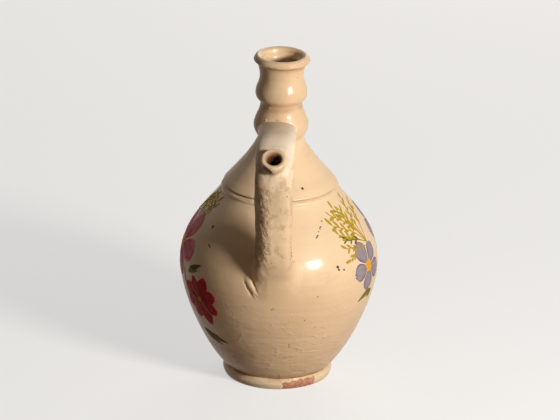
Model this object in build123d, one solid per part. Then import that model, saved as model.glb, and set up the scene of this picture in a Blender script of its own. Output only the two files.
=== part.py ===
from build123d import *
import os
from collections import namedtuple
from math import cos, radians, sin

# A tall-necked drinking jug in glazed earthenware, in millimetres.
# The origin is the middle of the foot's underside, +Z is up, and the handle with its spout faces -Y.
# The pieces are the ones that a potter throws or pulls and then joins wet, so they meet face to face.

# Foot and base
FOOT_HEIGHT = 10.5
FOOT_RADIUS = 50.6
FOOT_BEVEL = 1.9
FOOT_RING_WIDTH = 6.6

# Belly, from the foot up to the shoulder seam
BELLY_RADIUS = 91.0
BELLY_STEP = 1.8
BELLY_LOWER_HEIGHT = 99.5
BELLY_UPPER_HEIGHT = 75.0
BELLY_WALL = 6.5

# Shoulder, a cone that overhangs the seam by a soft bead
SEAM_RADIUS = 51.5
SEAM_BEAD = 0.8
SEAM_BEAD_HEIGHT = 3.0
SHOULDER_HEIGHT = 45.0
SHOULDER_WALL = 5.5

# Neck, two bulbs one above the other, with a straight throat for a stopper
NECK_RADIUS = 20.9
NECK_WALL = 4.8
LOWER_BULB_SWELL = 4.5
LOWER_BULB_RISE = 11.5
WAIST_DRAW = 1.4
WAIST_RISE = 19.5
UPPER_BULB_SWELL = 3.0
UPPER_BULB_RISE = 13.0
THROAT_DRAW = 0.3
THROAT_RISE = 12.0
THROAT_LENGTH = 14.0
LIP_ROOT_FLARE = 1.7

# Mouth rim
RIM_HEIGHT = 8.7
RIM_OVERHANG = 3.6
MOUTH_FLARE = 3.4
RIM_INNER_DROP = 2.4
RIM_OUTER_DROP = 4.1

# Handle: a solid arm from the neck, and a hollow stem down to the belly
GRIP_WIDTH = 34.0
ARM_THICKNESS = 12.5
ARM_SINK = 12.0
ARM_ROOT_RISE = 1.5
ARM_ROOT_FLARE = 4.0
ARM_KNUCKLE_REACH = 9.0
ARM_KNUCKLE_RISE = 7.5
ARM_CROWN_RISE = 12.0
ELBOW_RUN = 19.0
ELBOW_DROP = 3.0
ELBOW_HEIGHT = 21.0
STEM_DEPTH = 18.0
STEM_STAND_OFF = 13.4
STEM_LOW_STAND_OFF = 5.0
STEM_LOW_RISE = 42.0
STEM_KNEE_SINK = 3.0
STEM_KNEE_RISE = 26.0
STEM_ROOT_SINK = 15.0
STEM_ROOT_RISE = 8.0
STEM_ROOT_FLARE = 10.0

# Drinking channel and its nozzle
CHANNEL_RADIUS = 4.2
CHANNEL_BEND_RADIUS = 12.0
CHANNEL_KNEE_RADIUS = 30.0
CHANNEL_OVERRUN = 8.0
NOZZLE_DEPTH = 16.5
NOZZLE_REACH = 19.0
NOZZLE_ELEVATION = 58.0
NOZZLE_BORE_RADIUS = 5.6
NOZZLE_WALL = 3.4
NOZZLE_FLARE = 1.6
NOZZLE_FLARE_LENGTH = 3.5
NOZZLE_LIP_WIDTH = 3.6
NOZZLE_LIP_ROUND = 1.6

# Clay smeared over the two joints of the handle, thin at its edge and thick in the corner
LUTING_EDGE = 0.6
ARM_LUTING = 3.0
STEM_LUTING = 5.5

# Bows of the thrown curves: the two handles of each, as shares (radial, upright) of its own span
BELLY_LOWER_BOW = ((0.375, 0.128), (0.0, 0.315))
BELLY_UPPER_BOW = ((0.0, 0.485), (0.25, 0.225))
SHOULDER_BOW = ((0.29, 0.262), (0.24, 0.405))
MOUTH_BOW = ((0.0, 0.4), (0.3, 0.4))
RIM_UNDER_BOW = ((0.0, 0.6), (0.2, 0.45))

# The flat that the rounding leaves on the edge of the handle's strap
STRAP_EDGE_FLAT = 0.25

# Heights of the pieces above the table
belly_base = FOOT_HEIGHT
equator = belly_base + BELLY_LOWER_HEIGHT
seam = equator + BELLY_UPPER_HEIGHT
neck_base = seam + SHOULDER_HEIGHT
lower_bulb = neck_base + LOWER_BULB_RISE
waist = lower_bulb + WAIST_RISE
upper_bulb = waist + UPPER_BULB_RISE
throat = upper_bulb + THROAT_RISE
neck_top = throat + THROAT_LENGTH
rim_top = neck_top + RIM_HEIGHT
crown = lower_bulb + ARM_CROWN_RISE

# Radii of the pieces, each from the piece that it meets
base_radius = FOOT_RADIUS - FOOT_RING_WIDTH
belly_foot_radius = FOOT_RADIUS - BELLY_STEP
lower_bulb_radius = NECK_RADIUS + LOWER_BULB_SWELL
throat_radius = NECK_RADIUS - THROAT_DRAW
throat_bore = throat_radius - NECK_WALL
lip_root_radius = throat_radius + LIP_ROOT_FLARE
rim_radius = lip_root_radius + RIM_OVERHANG
mouth_radius = throat_bore + MOUTH_FLARE
nozzle_mouth_radius = NOZZLE_BORE_RADIUS + NOZZLE_FLARE
stem_reach = BELLY_RADIUS + STEM_STAND_OFF
stem_low_reach = BELLY_RADIUS + STEM_LOW_STAND_OFF


def profile_point(radius, height):
    """A point of a turned profile, in the plane of X and Z."""
    return Vector(radius, 0, height)


def bowed(start, end, bow):
    """A cubic curve between two profile points."""
    span = end - start
    start_pull, end_pull = bow
    first = start + Vector(span.X * start_pull[0], 0, span.Z * start_pull[1])
    second = end - Vector(span.X * end_pull[0], 0, span.Z * end_pull[1])
    return Bezier(start, first, second, end)


def turned(outline):
    """A solid of revolution round Z from edges that close a profile."""
    return revolve(make_face(outline), axis=Axis.Z)


def thrown_wall(outer, wall):
    """A thrown wall: the outer edges and the same edges moved in by the wall, closed and turned."""
    inner = [edge.moved(Location((-wall, 0, 0))) for edge in outer]
    foot_line = Line(outer[0] @ 0, inner[0] @ 0)
    top_line = Line(outer[-1] @ 1, inner[-1] @ 1)
    return turned(outer + inner + [foot_line, top_line])


def filled(outer):
    """The solid inside a turned outline, from the axis out."""
    low = outer[0] @ 0
    high = outer[-1] @ 1
    axis_line = Polyline(low, profile_point(0, low.Z), profile_point(0, high.Z), high)
    return turned(outer + [axis_line])


def base_disc():
    return extrude(Circle(base_radius), FOOT_HEIGHT)


def foot_ring():
    sole = profile_point(FOOT_RADIUS - FOOT_BEVEL, 0)
    crest = profile_point(FOOT_RADIUS, FOOT_HEIGHT / 2)
    top = profile_point(FOOT_RADIUS - FOOT_BEVEL, FOOT_HEIGHT)
    inner_top = profile_point(base_radius, FOOT_HEIGHT)
    inner_sole = profile_point(base_radius, 0)
    return turned([ThreePointArc(sole, crest, top), Polyline(top, inner_top, inner_sole, sole)])


def belly_outline():
    foot = profile_point(belly_foot_radius, belly_base)
    widest = profile_point(BELLY_RADIUS, equator)
    top = profile_point(SEAM_RADIUS, seam)
    return [
        bowed(foot, widest, BELLY_LOWER_BOW),
        bowed(widest, top, BELLY_UPPER_BOW),
    ]


def shoulder_outline():
    edge = profile_point(SEAM_RADIUS - SEAM_BEAD / 2, seam)
    bead = profile_point(SEAM_RADIUS + SEAM_BEAD / 2, seam + SEAM_BEAD_HEIGHT / 2)
    slope = profile_point(SEAM_RADIUS - SEAM_BEAD, seam + SEAM_BEAD_HEIGHT)
    top = profile_point(NECK_RADIUS, neck_base)
    return [ThreePointArc(edge, bead, slope), bowed(slope, top, SHOULDER_BOW)]


def neck_stations(wall):
    """Points up the neck as far as the throat, moved in by a wall."""
    stations = [
        (NECK_RADIUS, neck_base),
        (lower_bulb_radius, lower_bulb),
        (NECK_RADIUS - WAIST_DRAW, waist),
        (NECK_RADIUS + UPPER_BULB_SWELL, upper_bulb),
        (throat_radius, throat),
    ]
    return [profile_point(radius - wall, height) for radius, height in stations]


def neck_outline():
    return [Spline(*neck_stations(0), profile_point(lip_root_radius, neck_top))]


def neck():
    outer = neck_outline()[0]
    inner = Spline(*neck_stations(NECK_WALL))
    bore_line = Polyline(inner @ 1, profile_point(throat_bore, neck_top), outer @ 1)
    return turned([outer, inner, bore_line, Line(inner @ 0, outer @ 0)])


def mouth_rim():
    bore_edge = profile_point(throat_bore, neck_top)
    inner_edge = profile_point(mouth_radius, rim_top - RIM_INNER_DROP)
    crest = profile_point((mouth_radius + rim_radius) / 2, rim_top)
    outer_edge = profile_point(rim_radius, rim_top - RIM_OUTER_DROP)
    lip_root = profile_point(lip_root_radius, neck_top)
    return turned([
        bowed(bore_edge, inner_edge, MOUTH_BOW),
        ThreePointArc(inner_edge, crest, outer_edge),
        bowed(outer_edge, lip_root, RIM_UNDER_BOW),
        Line(lip_root, bore_edge),
    ])


# The handle's sections stand square on its centre line, which lies in the plane of Y and Z.
# Each has its distance out from the jug's axis, its height, its width and its depth.
Station = namedtuple("Station", "out height width depth")


def handle_stations():
    """The whole handle by name, from inside the neck over the elbow to inside the belly."""
    joint_depth = (ARM_THICKNESS + STEM_DEPTH) / 2
    crown_out = (lower_bulb_radius + stem_reach) / 2
    elbow = crown - ELBOW_HEIGHT
    stem_low = equator + STEM_LOW_RISE
    grip_out = (stem_reach + stem_low_reach) / 2
    knee_flare = STEM_ROOT_FLARE / 2
    return {
        "neck_root": Station(lower_bulb_radius - ARM_SINK, lower_bulb + ARM_ROOT_RISE,
                             GRIP_WIDTH + ARM_ROOT_FLARE, ARM_THICKNESS + ARM_ROOT_FLARE),
        "knuckle": Station(lower_bulb_radius + ARM_KNUCKLE_REACH, lower_bulb + ARM_KNUCKLE_RISE,
                           GRIP_WIDTH, ARM_THICKNESS),
        "crown": Station(crown_out, crown, GRIP_WIDTH, ARM_THICKNESS),
        "joint": Station(stem_reach - ELBOW_RUN, crown - ELBOW_DROP, GRIP_WIDTH, joint_depth),
        "elbow": Station(stem_reach, elbow, GRIP_WIDTH, STEM_DEPTH),
        "grip": Station(grip_out, (elbow + stem_low) / 2, GRIP_WIDTH, STEM_DEPTH),
        "stem_low": Station(stem_low_reach, stem_low, GRIP_WIDTH, STEM_DEPTH),
        "knee": Station(BELLY_RADIUS - STEM_KNEE_SINK, equator + STEM_KNEE_RISE,
                        GRIP_WIDTH + knee_flare, STEM_DEPTH + knee_flare),
        "belly_root": Station(BELLY_RADIUS - STEM_ROOT_SINK, equator + STEM_ROOT_RISE,
                              GRIP_WIDTH + STEM_ROOT_FLARE, STEM_DEPTH + STEM_ROOT_FLARE),
    }


def strap_section(before, here, after, thicker):
    """One section of the strap, square to the line of its neighbours and grown all round."""
    heading = (0, before.out - after.out, after.height - before.height)
    plane = Plane((0, -here.out, here.height), x_dir=(1, 0, 0), z_dir=heading)
    width = here.width + 2 * thicker
    depth = here.depth + 2 * thicker
    return plane * RectangleRounded(width, depth, (depth - STRAP_EDGE_FLAT) / 2)


def handle_span(first, last, luting={}):
    """A loft from one named station to another, thicker where luting gives a station some clay."""
    stations = handle_stations()
    names = list(stations)
    places = list(stations.values())
    befores = places[:1] + places[:-1]
    afters = places[1:] + places[-1:]
    sections = []
    for name, before, here, after in zip(names, befores, places, afters):
        if names.index(first) <= names.index(name) <= names.index(last):
            sections.append(strap_section(before, here, after, luting.get(name, 0)))
    return loft(sections)


nozzle_up = Vector(0, -cos(radians(NOZZLE_ELEVATION)), sin(radians(NOZZLE_ELEVATION)))
nozzle_root = Vector(0, -stem_reach, crown - NOZZLE_DEPTH)
nozzle_plane = Plane(nozzle_root, x_dir=(1, 0, 0), z_dir=nozzle_up)


def nozzle_body():
    """A short trumpet with a rounded lip, from the middle of the elbow to its mouth."""
    root = Circle(NOZZLE_BORE_RADIUS + NOZZLE_WALL)
    mouth = Pos(0, 0, NOZZLE_REACH) * Circle(nozzle_mouth_radius + NOZZLE_LIP_WIDTH)
    trumpet = loft([root, mouth])
    lip = trumpet.edges().group_by(Axis.Z)[-1]
    return nozzle_plane * fillet(lip, NOZZLE_LIP_ROUND)


def nozzle_bore():
    """The straight bore of the nozzle with its flared mouth."""
    throat_end = Pos(0, 0, NOZZLE_REACH - NOZZLE_FLARE_LENGTH) * Circle(NOZZLE_BORE_RADIUS)
    mouth = Pos(0, 0, NOZZLE_REACH) * Circle(nozzle_mouth_radius)
    straight = extrude(Circle(NOZZLE_BORE_RADIUS), NOZZLE_REACH)
    return nozzle_plane * (straight + loft([throat_end, mouth]))


def channel():
    """The water's way from the belly, up the stem and into the nozzle."""
    inside_out = BELLY_RADIUS - STEM_ROOT_SINK - CHANNEL_OVERRUN
    inside_height = equator + STEM_ROOT_RISE - CHANNEL_OVERRUN
    path = FilletPolyline(
        nozzle_root + nozzle_up * NOZZLE_REACH,
        nozzle_root,
        (0, -stem_low_reach, equator + STEM_LOW_RISE),
        (0, -inside_out, inside_height),
        radius=[CHANNEL_BEND_RADIUS, CHANNEL_KNEE_RADIUS],
    )
    return sweep(Plane(path @ 0, z_dir=path % 0) * Circle(CHANNEL_RADIUS), path=path)


def jug():
    """All pieces by name, each cut to meet its neighbours."""
    belly_body = filled(belly_outline())
    neck_body = filled(neck_outline())
    arm_body = handle_span("neck_root", "joint")
    stem_body = handle_span("joint", "belly_root")
    arm_clay = handle_span("neck_root", "knuckle", {"neck_root": ARM_LUTING, "knuckle": LUTING_EDGE})
    root_clay = {"stem_low": LUTING_EDGE, "knee": STEM_LUTING / 2, "belly_root": STEM_LUTING}
    stem_clay = handle_span("stem_low", "belly_root", root_clay)
    water_way = channel()
    return {
        "base_disc": base_disc(),
        "foot_ring": foot_ring(),
        "belly_wall": thrown_wall(belly_outline(), BELLY_WALL) - water_way,
        "shoulder": thrown_wall(shoulder_outline(), SHOULDER_WALL),
        "neck": neck(),
        "mouth_rim": mouth_rim(),
        "handle_arm": arm_body - neck_body,
        "arm_luting": arm_clay - arm_body - neck_body,
        "handle_stem": stem_body - belly_body - water_way,
        "stem_luting": stem_clay - stem_body - belly_body,
        "spout_nozzle": nozzle_body() - stem_body - nozzle_bore(),
    }


os.makedirs("parts", exist_ok=True)
for name, piece in jug().items():
    export_step(piece, f"parts/{name}.step")
    print(name, round(piece.volume), "mm3", len(piece.solids()), "solid")
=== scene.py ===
"""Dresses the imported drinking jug: thrown walls, hollow handle, cream glaze and painted flowers.

Every size is in metres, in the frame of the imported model: +Z is up and the handle faces -Y.
An angle round the jug starts at the handle's side and grows towards +X.
"""

import logging
import math
from dataclasses import dataclass, field
from enum import Enum
from typing import Any, Callable, Optional, Sequence, Union

import bmesh
import bpy
import numpy as np
from mathutils import Matrix, Vector, noise
from mathutils.bvhtree import BVHTree


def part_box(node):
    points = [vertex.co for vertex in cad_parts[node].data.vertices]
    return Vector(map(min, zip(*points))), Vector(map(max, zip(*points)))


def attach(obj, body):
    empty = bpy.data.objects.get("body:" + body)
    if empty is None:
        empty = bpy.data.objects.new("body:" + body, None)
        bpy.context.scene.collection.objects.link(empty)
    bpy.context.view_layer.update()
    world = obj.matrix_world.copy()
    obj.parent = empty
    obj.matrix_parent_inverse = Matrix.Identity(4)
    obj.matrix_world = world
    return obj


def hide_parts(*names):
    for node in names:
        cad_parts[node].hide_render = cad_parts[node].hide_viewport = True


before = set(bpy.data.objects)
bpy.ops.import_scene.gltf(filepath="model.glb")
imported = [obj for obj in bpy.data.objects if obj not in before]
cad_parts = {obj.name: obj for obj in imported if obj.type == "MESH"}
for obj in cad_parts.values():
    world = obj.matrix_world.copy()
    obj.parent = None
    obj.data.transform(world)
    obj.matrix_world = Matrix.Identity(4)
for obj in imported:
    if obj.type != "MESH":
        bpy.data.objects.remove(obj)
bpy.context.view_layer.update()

log = logging.getLogger("jug")

MM = 0.001
ROOT = "root"
SHARP_CORNER = math.radians(50)
SHEET_OUT = 0.2
RAY_LENGTH = 0.3
WELD_GAP = 0.001 * MM
SEAM_GAP = 0.002 * MM

Triple = tuple[float, float, float]
Colour = Triple
Pair = tuple[float, float]
Bow = tuple[Pair, Pair]


class Slot(Enum):
    """The record's material slots."""

    CREAM_GLAZE = "cream_glaze"
    BARE_CLAY = "bare_clay"


def operator(name: str, turned: bool = False) -> Callable[["Signal", "Value"], "Signal"]:
    """A method that adds one Math node for a signal and a value; turned puts the value first."""

    def method(self: "Signal", other: "Value") -> "Signal":
        """The result of the Math node."""
        return self.bench.math(name, other, self) if turned else self.bench.math(name, self, other)

    return method


class Signal:
    """One output of a node, with arithmetic that adds Math nodes."""

    __add__ = operator("ADD")
    __radd__ = operator("ADD", turned=True)
    __sub__ = operator("SUBTRACT")
    __rsub__ = operator("SUBTRACT", turned=True)
    __mul__ = operator("MULTIPLY")
    __rmul__ = operator("MULTIPLY", turned=True)
    maximum = operator("MAXIMUM")
    minimum = operator("MINIMUM")

    def __init__(self, bench: "NodeBench", socket: bpy.types.NodeSocket) -> None:
        """Keeps the bench that the socket's node stands on."""
        self.bench = bench
        self.socket = socket

    def rise(self, low: float, high: float) -> "Signal":
        """A soft step.

        Args:
            low: the value at which the step starts.
            high: the value at which it is full; below low, the step falls instead.

        Returns:
            0 at low, 1 at high and a smooth slope between them.
        """
        first, last = (0.0, 1.0) if low < high else (1.0, 0.0)
        limits = {"From Min": min(low, high), "From Max": max(low, high), "To Min": first, "To Max": last}
        inputs = {"Value": self, **limits}
        return self.bench.add("ShaderNodeMapRange", inputs, interpolation_type="SMOOTHSTEP")["Result"]

    def band(self, middle: float, half: float) -> "Signal":
        """A soft band: 1 at middle, 0 at half away from it and beyond."""
        return self.bench.math("ABSOLUTE", self - middle).rise(half, 0.0)


Value = Union[Signal, float, int]


class Placed:
    """A node on the bench; its outputs are read by name, identifier or number."""

    def __init__(self, bench: "NodeBench", node: bpy.types.Node) -> None:
        """Keeps the node."""
        self.bench = bench
        self.node = node

    def __getitem__(self, key: Union[str, int]) -> Signal:
        """One output."""
        return Signal(self.bench, find_socket(self.node.outputs, key))


def find_socket(sockets: Any, key: Union[str, int]) -> bpy.types.NodeSocket:
    """Finds a socket.

    Args:
        sockets: a node's inputs or outputs.
        key: a number, an identifier or a name that an enabled socket has.

    Returns:
        The socket.
    """
    if isinstance(key, int):
        return sockets[key]
    for socket in sockets:
        if socket.identifier == key:
            return socket
    for socket in sockets:
        if socket.name == key and socket.enabled:
            return socket
    raise KeyError(f"no socket {key!r} among {[s.identifier for s in sockets]}")


class NodeBench:
    """A node tree under construction."""

    def __init__(self, tree: bpy.types.NodeTree) -> None:
        """Keeps the tree."""
        self.tree = tree

    def add(self, kind: str, inputs: Optional[dict] = None, **settings: Any) -> Placed:
        """Adds one node.

        Args:
            kind: the node's type.
            inputs: values or links by socket.
            settings: its properties, which are set first.

        Returns:
            The placed node.
        """
        node = self.tree.nodes.new(kind)
        for name, value in settings.items():
            setattr(node, name, value)
        for key, value in (inputs or {}).items():
            socket = find_socket(node.inputs, key)
            if isinstance(value, Signal):
                self.tree.links.new(value.socket, socket)
            elif socket.type == "RGBA" and len(value) == 3:
                socket.default_value = (*value, 1.0)
            else:
                socket.default_value = value
        return Placed(self, node)

    def math(self, operation: str, *values: Value) -> Signal:
        """One Math node on the given values."""
        return self.add("ShaderNodeMath", dict(enumerate(values)), operation=operation)[0]

    def vector(self, operation: str, *values: Any) -> Signal:
        """The vector that one Vector Math node makes."""
        return self.add("ShaderNodeVectorMath", dict(enumerate(values)), operation=operation)["Vector"]

    def measure(self, operation: str, *values: Any) -> Signal:
        """The number that one Vector Math node makes."""
        return self.add("ShaderNodeVectorMath", dict(enumerate(values)), operation=operation)["Value"]

    def scaled(self, vector: Any, by: Value) -> Signal:
        """A vector times a number."""
        return self.add("ShaderNodeVectorMath", {0: vector, "Scale": by}, operation="SCALE")["Vector"]

    def combine(self, x: Value = 0.0, y: Value = 0.0, z: Value = 0.0) -> Signal:
        """A vector of three numbers."""
        return self.add("ShaderNodeCombineXYZ", {"X": x, "Y": y, "Z": z})[0]

    def axes(self, where: Signal) -> tuple[Signal, Signal, Signal]:
        """The three coordinates of a place."""
        parts = self.add("ShaderNodeSeparateXYZ", {"Vector": where})
        return parts["X"], parts["Y"], parts["Z"]

    def mix(self, factor: Value, first: Any, second: Any) -> Signal:
        """A colour between two colours."""
        inputs = {"Factor_Float": factor, "A_Color": first, "B_Color": second}
        return self.add("ShaderNodeMix", inputs, data_type="RGBA", clamp_factor=True)["Result_Color"]

    def layered(self, body: Any, *coats: tuple[Value, Any]) -> Any:
        """Colours laid over a body one after the other, each by its own factor."""
        for factor, colour in coats:
            body = self.mix(factor, body, colour)
        return body

    def noise(
        self, where: Signal, scale: Union[float, Triple], detail: float = 2.0, roughness: float = 0.5
    ) -> Signal:
        """Soft noise from 0 to 1 in three dimensions; three scales stretch it along the axes."""
        if isinstance(scale, tuple):
            where, scale = self.vector("MULTIPLY", where, scale), 1.0
        inputs = {"Vector": where, "Scale": scale, "Detail": detail, "Roughness": roughness}
        return self.add("ShaderNodeTexNoise", inputs, noise_dimensions="3D")[0]

    def from_line(self, where: Signal, start: Vector, end: Vector) -> tuple[Signal, Signal]:
        """How far a place is from the straight line between two places, and at which share along it."""
        span = end - start
        offset = self.vector("SUBTRACT", where, tuple(start))
        along = self.measure("DOT_PRODUCT", offset, tuple(span / span.length_squared))
        share = along.maximum(0.0).minimum(1.0)
        return self.measure("DISTANCE", offset, self.scaled(tuple(span), share)), share


class MaterialBench(NodeBench):
    """The nodes of one material."""

    def __init__(self, name: str) -> None:
        """Makes an empty material with its output."""
        self.material = bpy.data.materials.new(name)
        self.material.use_nodes = True
        super().__init__(self.material.node_tree)
        self.tree.nodes.clear()
        self.output = self.add("ShaderNodeOutputMaterial").node

    def surface(self, **inputs: Any) -> Signal:
        """The surface shader; underscores in a name stand for spaces."""
        named = {name.replace("_", " "): value for name, value in inputs.items()}
        return self.add("ShaderNodeBsdfPrincipled", named)["BSDF"]

    def finish(self, shader: Signal) -> bpy.types.Material:
        """Links the shader to the output and hands the material over."""
        self.tree.links.new(shader.socket, self.output.inputs["Surface"])
        return self.material

    def bump(self, height: Signal, depth: float) -> Signal:
        """A normal that a height from 0 to 1 disturbs, full height being depth in metres."""
        return self.add("ShaderNodeBump", {"Strength": 1.0, "Distance": depth, "Height": height})[0]

    def place(self) -> Signal:
        """The place on the jug, in the model's frame."""
        return self.add("ShaderNodeTexCoord")["Object"]


class TreeBench(NodeBench):
    """A Geometry Nodes tree with named inputs."""

    def __init__(self, name: str) -> None:
        """Makes the tree with its output."""
        super().__init__(bpy.data.node_groups.new(name, "GeometryNodeTree"))
        self.tree.interface.new_socket("Geometry", in_out="OUTPUT", socket_type="NodeSocketGeometry")
        self.group_in = self.add("NodeGroupInput")
        self.keys: dict[str, str] = {}

    def inputs(self, **kinds: str) -> list[Signal]:
        """Adds named inputs.

        Args:
            kinds: the kind of each input by its name, in which underscores stand for spaces.

        Returns:
            The inputs' values inside the tree.
        """
        made = []
        for key, kind in kinds.items():
            name = key.replace("_", " ")
            socket = self.tree.interface.new_socket(name, in_out="INPUT", socket_type=f"NodeSocket{kind}")
            self.keys[name] = socket.identifier
            made.append(self.group_in[socket.identifier])
        return made

    def position(self) -> Signal:
        """The place of each point."""
        return self.add("GeometryNodeInputPosition")[0]

    def shot(self, wall: Signal, start: Signal, outward: Signal, length: float) -> Placed:
        """Rays from each point inwards on to a wall."""
        inputs = {
            "Target Geometry": self.add("GeometryNodeObjectInfo", {"Object": wall})["Geometry"],
            "Source Position": start,
            "Ray Direction": self.scaled(outward, -1.0),
            "Ray Length": length,
        }
        return self.add("GeometryNodeRaycast", inputs)

    def finish(self, geometry: Signal, finish: Signal) -> None:
        """Ends the tree with real, smooth geometry in its finish."""
        real = self.add("GeometryNodeRealizeInstances", {"Geometry": geometry})[0]
        shaded = self.add("GeometryNodeSetShadeSmooth", {"Geometry": real, "Shade Smooth": True})[0]
        dressed = self.add("GeometryNodeSetMaterial", {"Geometry": shaded, "Material": finish})[0]
        self.add("NodeGroupOutput", {0: dressed})

    def run(self, name: str, start: bpy.types.Mesh, values: dict[str, Any]) -> bpy.types.Object:
        """Runs the tree once and keeps its plain mesh.

        Args:
            name: the piece's name.
            start: the mesh that the tree works on.
            values: the inputs by name.

        Returns:
            The piece, at the origin and with no modifier left.
        """
        piece = linked(name, start)
        modifier = piece.modifiers.new("tree", "NODES")
        modifier.node_group = self.tree
        for key, value in values.items():
            modifier[self.keys[key]] = value
        apply(piece, modifier)
        piece.data.name = name
        bpy.data.meshes.remove(start)
        return piece


class TurningTree(TreeBench):
    """Turns a closed profile round the upright axis, with the waver of a hand-thrown wall."""

    def __init__(self) -> None:
        """Lays a grid round the axis, one column per segment and one row per profile point."""
        super().__init__("turned_wall")
        profile, segments, waver, ring_depth, lump_depth, lean, finish = self.inputs(
            Profile="Geometry",
            Segments="Int",
            Waver="Float",
            Ring_Depth="Float",
            Lump_Depth="Float",
            Lean="Float",
            Finish="Material",
        )
        size = self.add("GeometryNodeAttributeDomainSize", {"Geometry": profile}, component="MESH")
        count = size["Point Count"]
        sides = {"Size X": 1.0, "Size Y": 1.0, "Vertices X": segments + 1, "Vertices Y": count + 1}
        grid = self.add("GeometryNodeMeshGrid", sides)
        column, up, _ = self.axes(grid["UV Map"])
        row = self.math("MODULO", self.math("ROUND", up * count), count)
        sample = {"Geometry": profile, "Value": self.position(), "Index": row}
        picked = self.add("GeometryNodeSampleIndex", sample, data_type="FLOAT_VECTOR")["Value"]
        out, _, level = self.axes(picked)
        angle = column * math.tau
        sine, cosine = self.math("SINE", angle), self.math("COSINE", angle)
        slow = self.noise(self.combine(sine, cosine, level * 9.0), 1.1, 1.0)
        rings = self.noise(self.combine(sine * 0.25, cosine * 0.25, level * 150.0), 1.0, 1.0)
        lumps = self.noise(self.combine(sine * 2.2, cosine * 2.2, level * 45.0), 1.0, 2.0)
        radius = out - (waver * slow + ring_depth * rings) - lump_depth * lumps
        height = level - lean * (radius * sine + out)
        place = self.combine(radius * sine, radius * cosine * -1.0, height)
        turned = self.add("GeometryNodeSetPosition", {"Geometry": grid["Mesh"], "Position": place})[0]
        closed = self.add("GeometryNodeMergeByDistance", {"Geometry": turned, "Distance": SEAM_GAP})[0]
        self.finish(closed, finish)


class LayingTree(TreeBench):
    """Lays flat paint on a wall: each point goes straight to the wall, its height above the flat stays."""

    def __init__(self, name: str = "paint_on_wall") -> None:
        """Makes the inputs that say where the flat stands, then lays the input down."""
        super().__init__(name)
        flat, wall, centre, right, up, out, paint = self.inputs(
            Flat="Geometry",
            Wall="Object",
            Centre="Vector",
            Right="Vector",
            Up="Vector",
            Out="Vector",
            Finish="Material",
        )
        ready = self.prepared(flat)
        x, y, lift = self.axes(self.position())
        start = self.vector("ADD", centre, self.vector("ADD", self.scaled(right, x), self.scaled(up, y)))
        ray = self.shot(wall, start, out, RAY_LENGTH)
        place = self.vector("ADD", ray["Hit Position"], self.scaled(ray["Hit Normal"], lift))
        self.finish(self.add("GeometryNodeSetPosition", {"Geometry": ready, "Position": place})[0], paint)

    def prepared(self, flat: Signal) -> Signal:
        """The flat geometry that is laid down."""
        return flat


class SprigTree(LayingTree):
    """Grows small leaves along flat stems, then lays the whole sprig on the wall."""

    def __init__(self) -> None:
        """Builds the tree of the laid sprig."""
        super().__init__("sprig_on_wall")

    def chance(self, low: float, high: float, seed: int) -> Signal:
        """A random number of its own for each leaf."""
        limits = {"Min_001": low, "Max_001": high, "Seed": seed}
        return self.add("FunctionNodeRandomValue", limits, data_type="FLOAT")["Value_001"]

    def prepared(self, flat: Signal) -> Signal:
        """Stems as thin strokes with leaves that lean out to both sides in turn."""
        stroke, pitch, length, width, lift, spread, bare = self.inputs(
            Stroke="Float",
            Leaf_Pitch="Float",
            Leaf_Length="Float",
            Leaf_Width="Float",
            Lift="Float",
            Spread="Float",
            Bare_Share="Float",
        )
        stems = self.add("GeometryNodeMeshToCurve", {"Mesh": flat})["Curve"]
        ring = self.add("GeometryNodeCurvePrimitiveCircle", {"Resolution": 6, "Radius": stroke})[0]
        thread = {"Curve": stems, "Profile Curve": ring, "Fill Caps": True}
        strokes = self.add("GeometryNodeCurveToMesh", thread)[0]
        trim = {"Curve": stems, "Start": bare, "End": 1.0}
        leafy = self.add("GeometryNodeTrimCurve", trim, mode="FACTOR")[0]
        dots = self.add("GeometryNodeCurveToPoints", {"Curve": leafy, "Length": pitch}, mode="LENGTH")
        run, climb, _ = self.axes(dots["Tangent"])
        side = self.math("MODULO", self.add("GeometryNodeInputIndex")[0], 2.0) * 2.0 - 1.0
        turn = self.math("ARCTAN2", climb, run) + side * spread + self.chance(-0.25, 0.25, 3)
        ball = self.add("GeometryNodeMeshUVSphere", {"Segments": 10, "Rings": 5, "Radius": 0.5})
        form = {
            "Geometry": ball["Mesh"],
            "Translation": self.combine(length * 0.5),
            "Scale": self.combine(length, width, lift * 2.0),
        }
        spread_out = {
            "Points": dots["Points"],
            "Instance": self.add("GeometryNodeTransform", form)[0],
            "Rotation": self.combine(z=turn),
            "Scale": self.chance(0.65, 1.25, 7),
        }
        leaves = self.add("GeometryNodeInstanceOnPoints", spread_out)[0]
        real = self.add("GeometryNodeRealizeInstances", {"Geometry": leaves})[0]
        both = self.add("GeometryNodeJoinGeometry")
        for part in (strokes, real):
            self.tree.links.new(part.socket, both.node.inputs[0])
        return both[0]


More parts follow.
